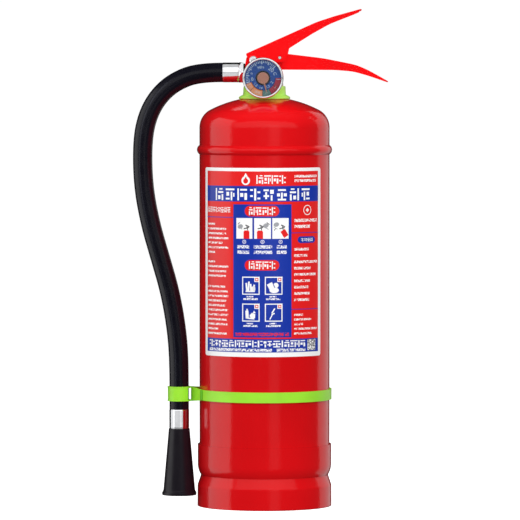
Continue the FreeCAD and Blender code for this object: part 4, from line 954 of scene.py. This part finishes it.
class EXTINGUISHER_OT_clip_rims(bpy.types.Operator):
    """Raised rims round the hose clip's loop, and a dark green strip of painted shade on the crease where its
    neck meets the strap
    """
    bl_idname = "extinguisher.clip_rims"
    bl_label = "Clip rims"

    def execute(self, context):
        low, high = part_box("hose_clip")
        left, bottom, top = low.x / MM, low.z / MM, high.z / MM
        outer = 11.4
        rims = []
        for z in (bottom + 0.6, top - 0.6):
            section = [(-0.5, -0.55), (0.15, -0.5), (0.3, -0.2), (0.3, 0.2), (0.15, 0.5), (-0.5, 0.55),
                       (-0.5, -0.55)]
            rim = turned("clip_rim", [(outer + out, z + up) for out, up in section], 96)
            stand(rim, (0, 0, 0), (left + outer, 0, 0))
            edit(rim)
            bpy.ops.mesh.bisect(plane_co=((left + outer * 1.86) * MM, 0, 0), plane_no=(1, 0, 0),
                                clear_outer=True, use_fill=True)
            rims.append(rim)
        rims = join("clip_rims", *rims)
        smooth(rims, 45)
        finish(rims, finish_for("green_plastic"))
        self.crease_shade()
        return {"FINISHED"}

    def crease_shade(self):
        """A darker green strip on the bent line where the clip's flat neck meets the round strap: painted
        shade standing in for the crease's shadow.
        """
        low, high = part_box("strap_band")
        reach, neck = high.x / MM, -low.x / MM
        lean = math.acos(reach / neck)
        across = neck - 0.93 * reach * math.sin(lean) * math.sin(lean)
        along = (neck - across) / math.tan(lean) + 1.5
        only()
        bpy.ops.mesh.primitive_cube_add(size=MM, location=(0, 0, 0))
        line = bpy.context.object
        line.name = "strap_fold"
        line.scale = (4.8, 0.5, 10.3)
        line.rotation_euler = (0, 0, lean - math.pi / 2)
        line.location = (-across * MM, -along * MM, (low.z + high.z) / 2)
        apply_place(line)
        modifier(line, "BEVEL", width=0.18 * MM, segments=2)
        smooth(line, 45)
        # The darker green is painted shade for the crease, not a colour of the plastic.
        finish(line, moulded("painted_crease_shade", (0.13, 0.50, 0.012), 0.4))


class EXTINGUISHER_OT_seam(bpy.types.Operator):
    """Longitudinal weld seam up the back of the tube"""
    bl_idname = "extinguisher.seam"
    bl_label = "Weld seam"

    def execute(self, context):
        _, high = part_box("body_tube")
        radius, half_width, pitch = high.y / MM, 2.2, 3.1
        bottom, top = 62.5, 351.0
        only()
        bpy.ops.mesh.primitive_grid_add(x_subdivisions=6, y_subdivisions=190, size=MM, location=(0, 0, 0))
        seam = bpy.context.object
        seam.name = "weld_seam"
        seam.scale = (2 * half_width, top - bottom, 1)
        seam.rotation_euler = (-math.pi / 2, 0, 0)
        seam.location = (0, (radius - 0.12) * MM, (top + bottom) / 2 * MM)
        apply_place(seam)
        for spot in seam.data.vertices:
            across = abs(spot.co.x) / MM / half_width
            ripple = 0.05 * math.sin(spot.co.z / MM * 2 * math.pi / pitch - 1.2 * across)
            crown = (1 - across * across) * 0.55 + ripple * (1 - across)
            spot.co.y += crown * MM - spot.co.x ** 2 / (2 * radius * MM)
        smooth(seam, 60)
        finish(seam, finish_for("body_paint"))
        return {"FINISHED"}


# ---------------------------------------------------------------- light for bright metal and rubber

class EXTINGUISHER_OT_metal_light(bpy.types.Operator):
    """White cards that light only the plated fittings, and a strip that lights only the hose"""
    bl_idname = "extinguisher.metal_light"
    bl_label = "Cards for the chrome"

    def execute(self, context):
        bright = bpy.data.collections.new("bright_metal")
        for name in ("crimped_upper_ferrule", "crimped_lower_ferrule", "rolled_bezel", "hose_coupling",
                     "gauge_case", "hinge_rivet", "safety_pin", "pull_ring"):
            bright.objects.link(bpy.data.objects[name])
        self.hose_strip()
        cards = [("lower_card", (0, -0.32, 0.2025), 0.405, 2.4, 90),
                 ("upper_card", (0, -0.75, 1.065), 1.27, 9.0, 90),
                 ("over_card", (0, -0.30, 1.30), 1.2, 6.0, 0)]
        for name, place, tall, power, tilt in cards:
            card = area_lamp(name, (2.4, tall), place, power)
            card.rotation_euler = (math.radians(tilt), 0, 0)
            card.light_linking.receiver_collection = bright
        return {"FINISHED"}

    def hose_strip(self):
        """A tall narrow light at the front left that draws the soft line along the rubber."""
        rubber = bpy.data.collections.new("black_rubber")
        rubber.objects.link(bpy.data.objects["rubber_hose"])
        place, aim = Vector((-1.05, -1.15, 0.75)), Vector((-0.12, 0, 0.33))
        strip = area_lamp("hose_strip", (0.34, 1.7), place, 2.2)
        strip.rotation_euler = (aim - place).to_track_quat("-Z", "Y").to_euler()
        strip.data.color = (0.80, 0.83, 1.0)
        strip.light_linking.receiver_collection = rubber


PIECES = (EXTINGUISHER_OT_stage, EXTINGUISHER_OT_finishes, EXTINGUISHER_OT_ferrules, EXTINGUISHER_OT_hose,
          EXTINGUISHER_OT_gauge, EXTINGUISHER_OT_label, EXTINGUISHER_OT_clip_rims, EXTINGUISHER_OT_seam,
          EXTINGUISHER_OT_metal_light)
SETTINGS = {"extinguisher_paint": ExtinguisherPaint, "extinguisher_hose": ExtinguisherHose,
            "extinguisher_label": ExtinguisherLabel, "extinguisher_gauge": ExtinguisherGauge,
            "extinguisher_studio": ExtinguisherStudio}


class EXTINGUISHER_PT_panel(bpy.types.Panel):
    """The steps in the order they are made, with the sizes and colours they use"""
    bl_idname = "EXTINGUISHER_PT_panel"
    bl_label = "Extinguisher"
    bl_space_type = "VIEW_3D"
    bl_region_type = "UI"
    bl_category = "Extinguisher"

    def draw(self, context):
        for step in PIECES:
            self.layout.operator(step.bl_idname)
        for name, group in SETTINGS.items():
            box = self.layout.box()
            for prop in group.__annotations__:
                box.prop(getattr(context.scene, name), prop)


def register():
    for group in SETTINGS.values():
        bpy.utils.register_class(group)
    for name, group in SETTINGS.items():
        setattr(bpy.types.Scene, name, PointerProperty(type=group))
    for step in PIECES:
        bpy.utils.register_class(step)
    bpy.utils.register_class(EXTINGUISHER_PT_panel)


def unregister():
    bpy.utils.unregister_class(EXTINGUISHER_PT_panel)
    for step in reversed(PIECES):
        bpy.utils.unregister_class(step)
    for name, group in reversed(list(SETTINGS.items())):
        delattr(bpy.types.Scene, name)
        bpy.utils.unregister_class(group)


def main():
    register()
    for step in PIECES:
        family, name = step.bl_idname.split(".")
        getattr(getattr(bpy.ops, family), name)()


if __name__ == "__main__":
    main()
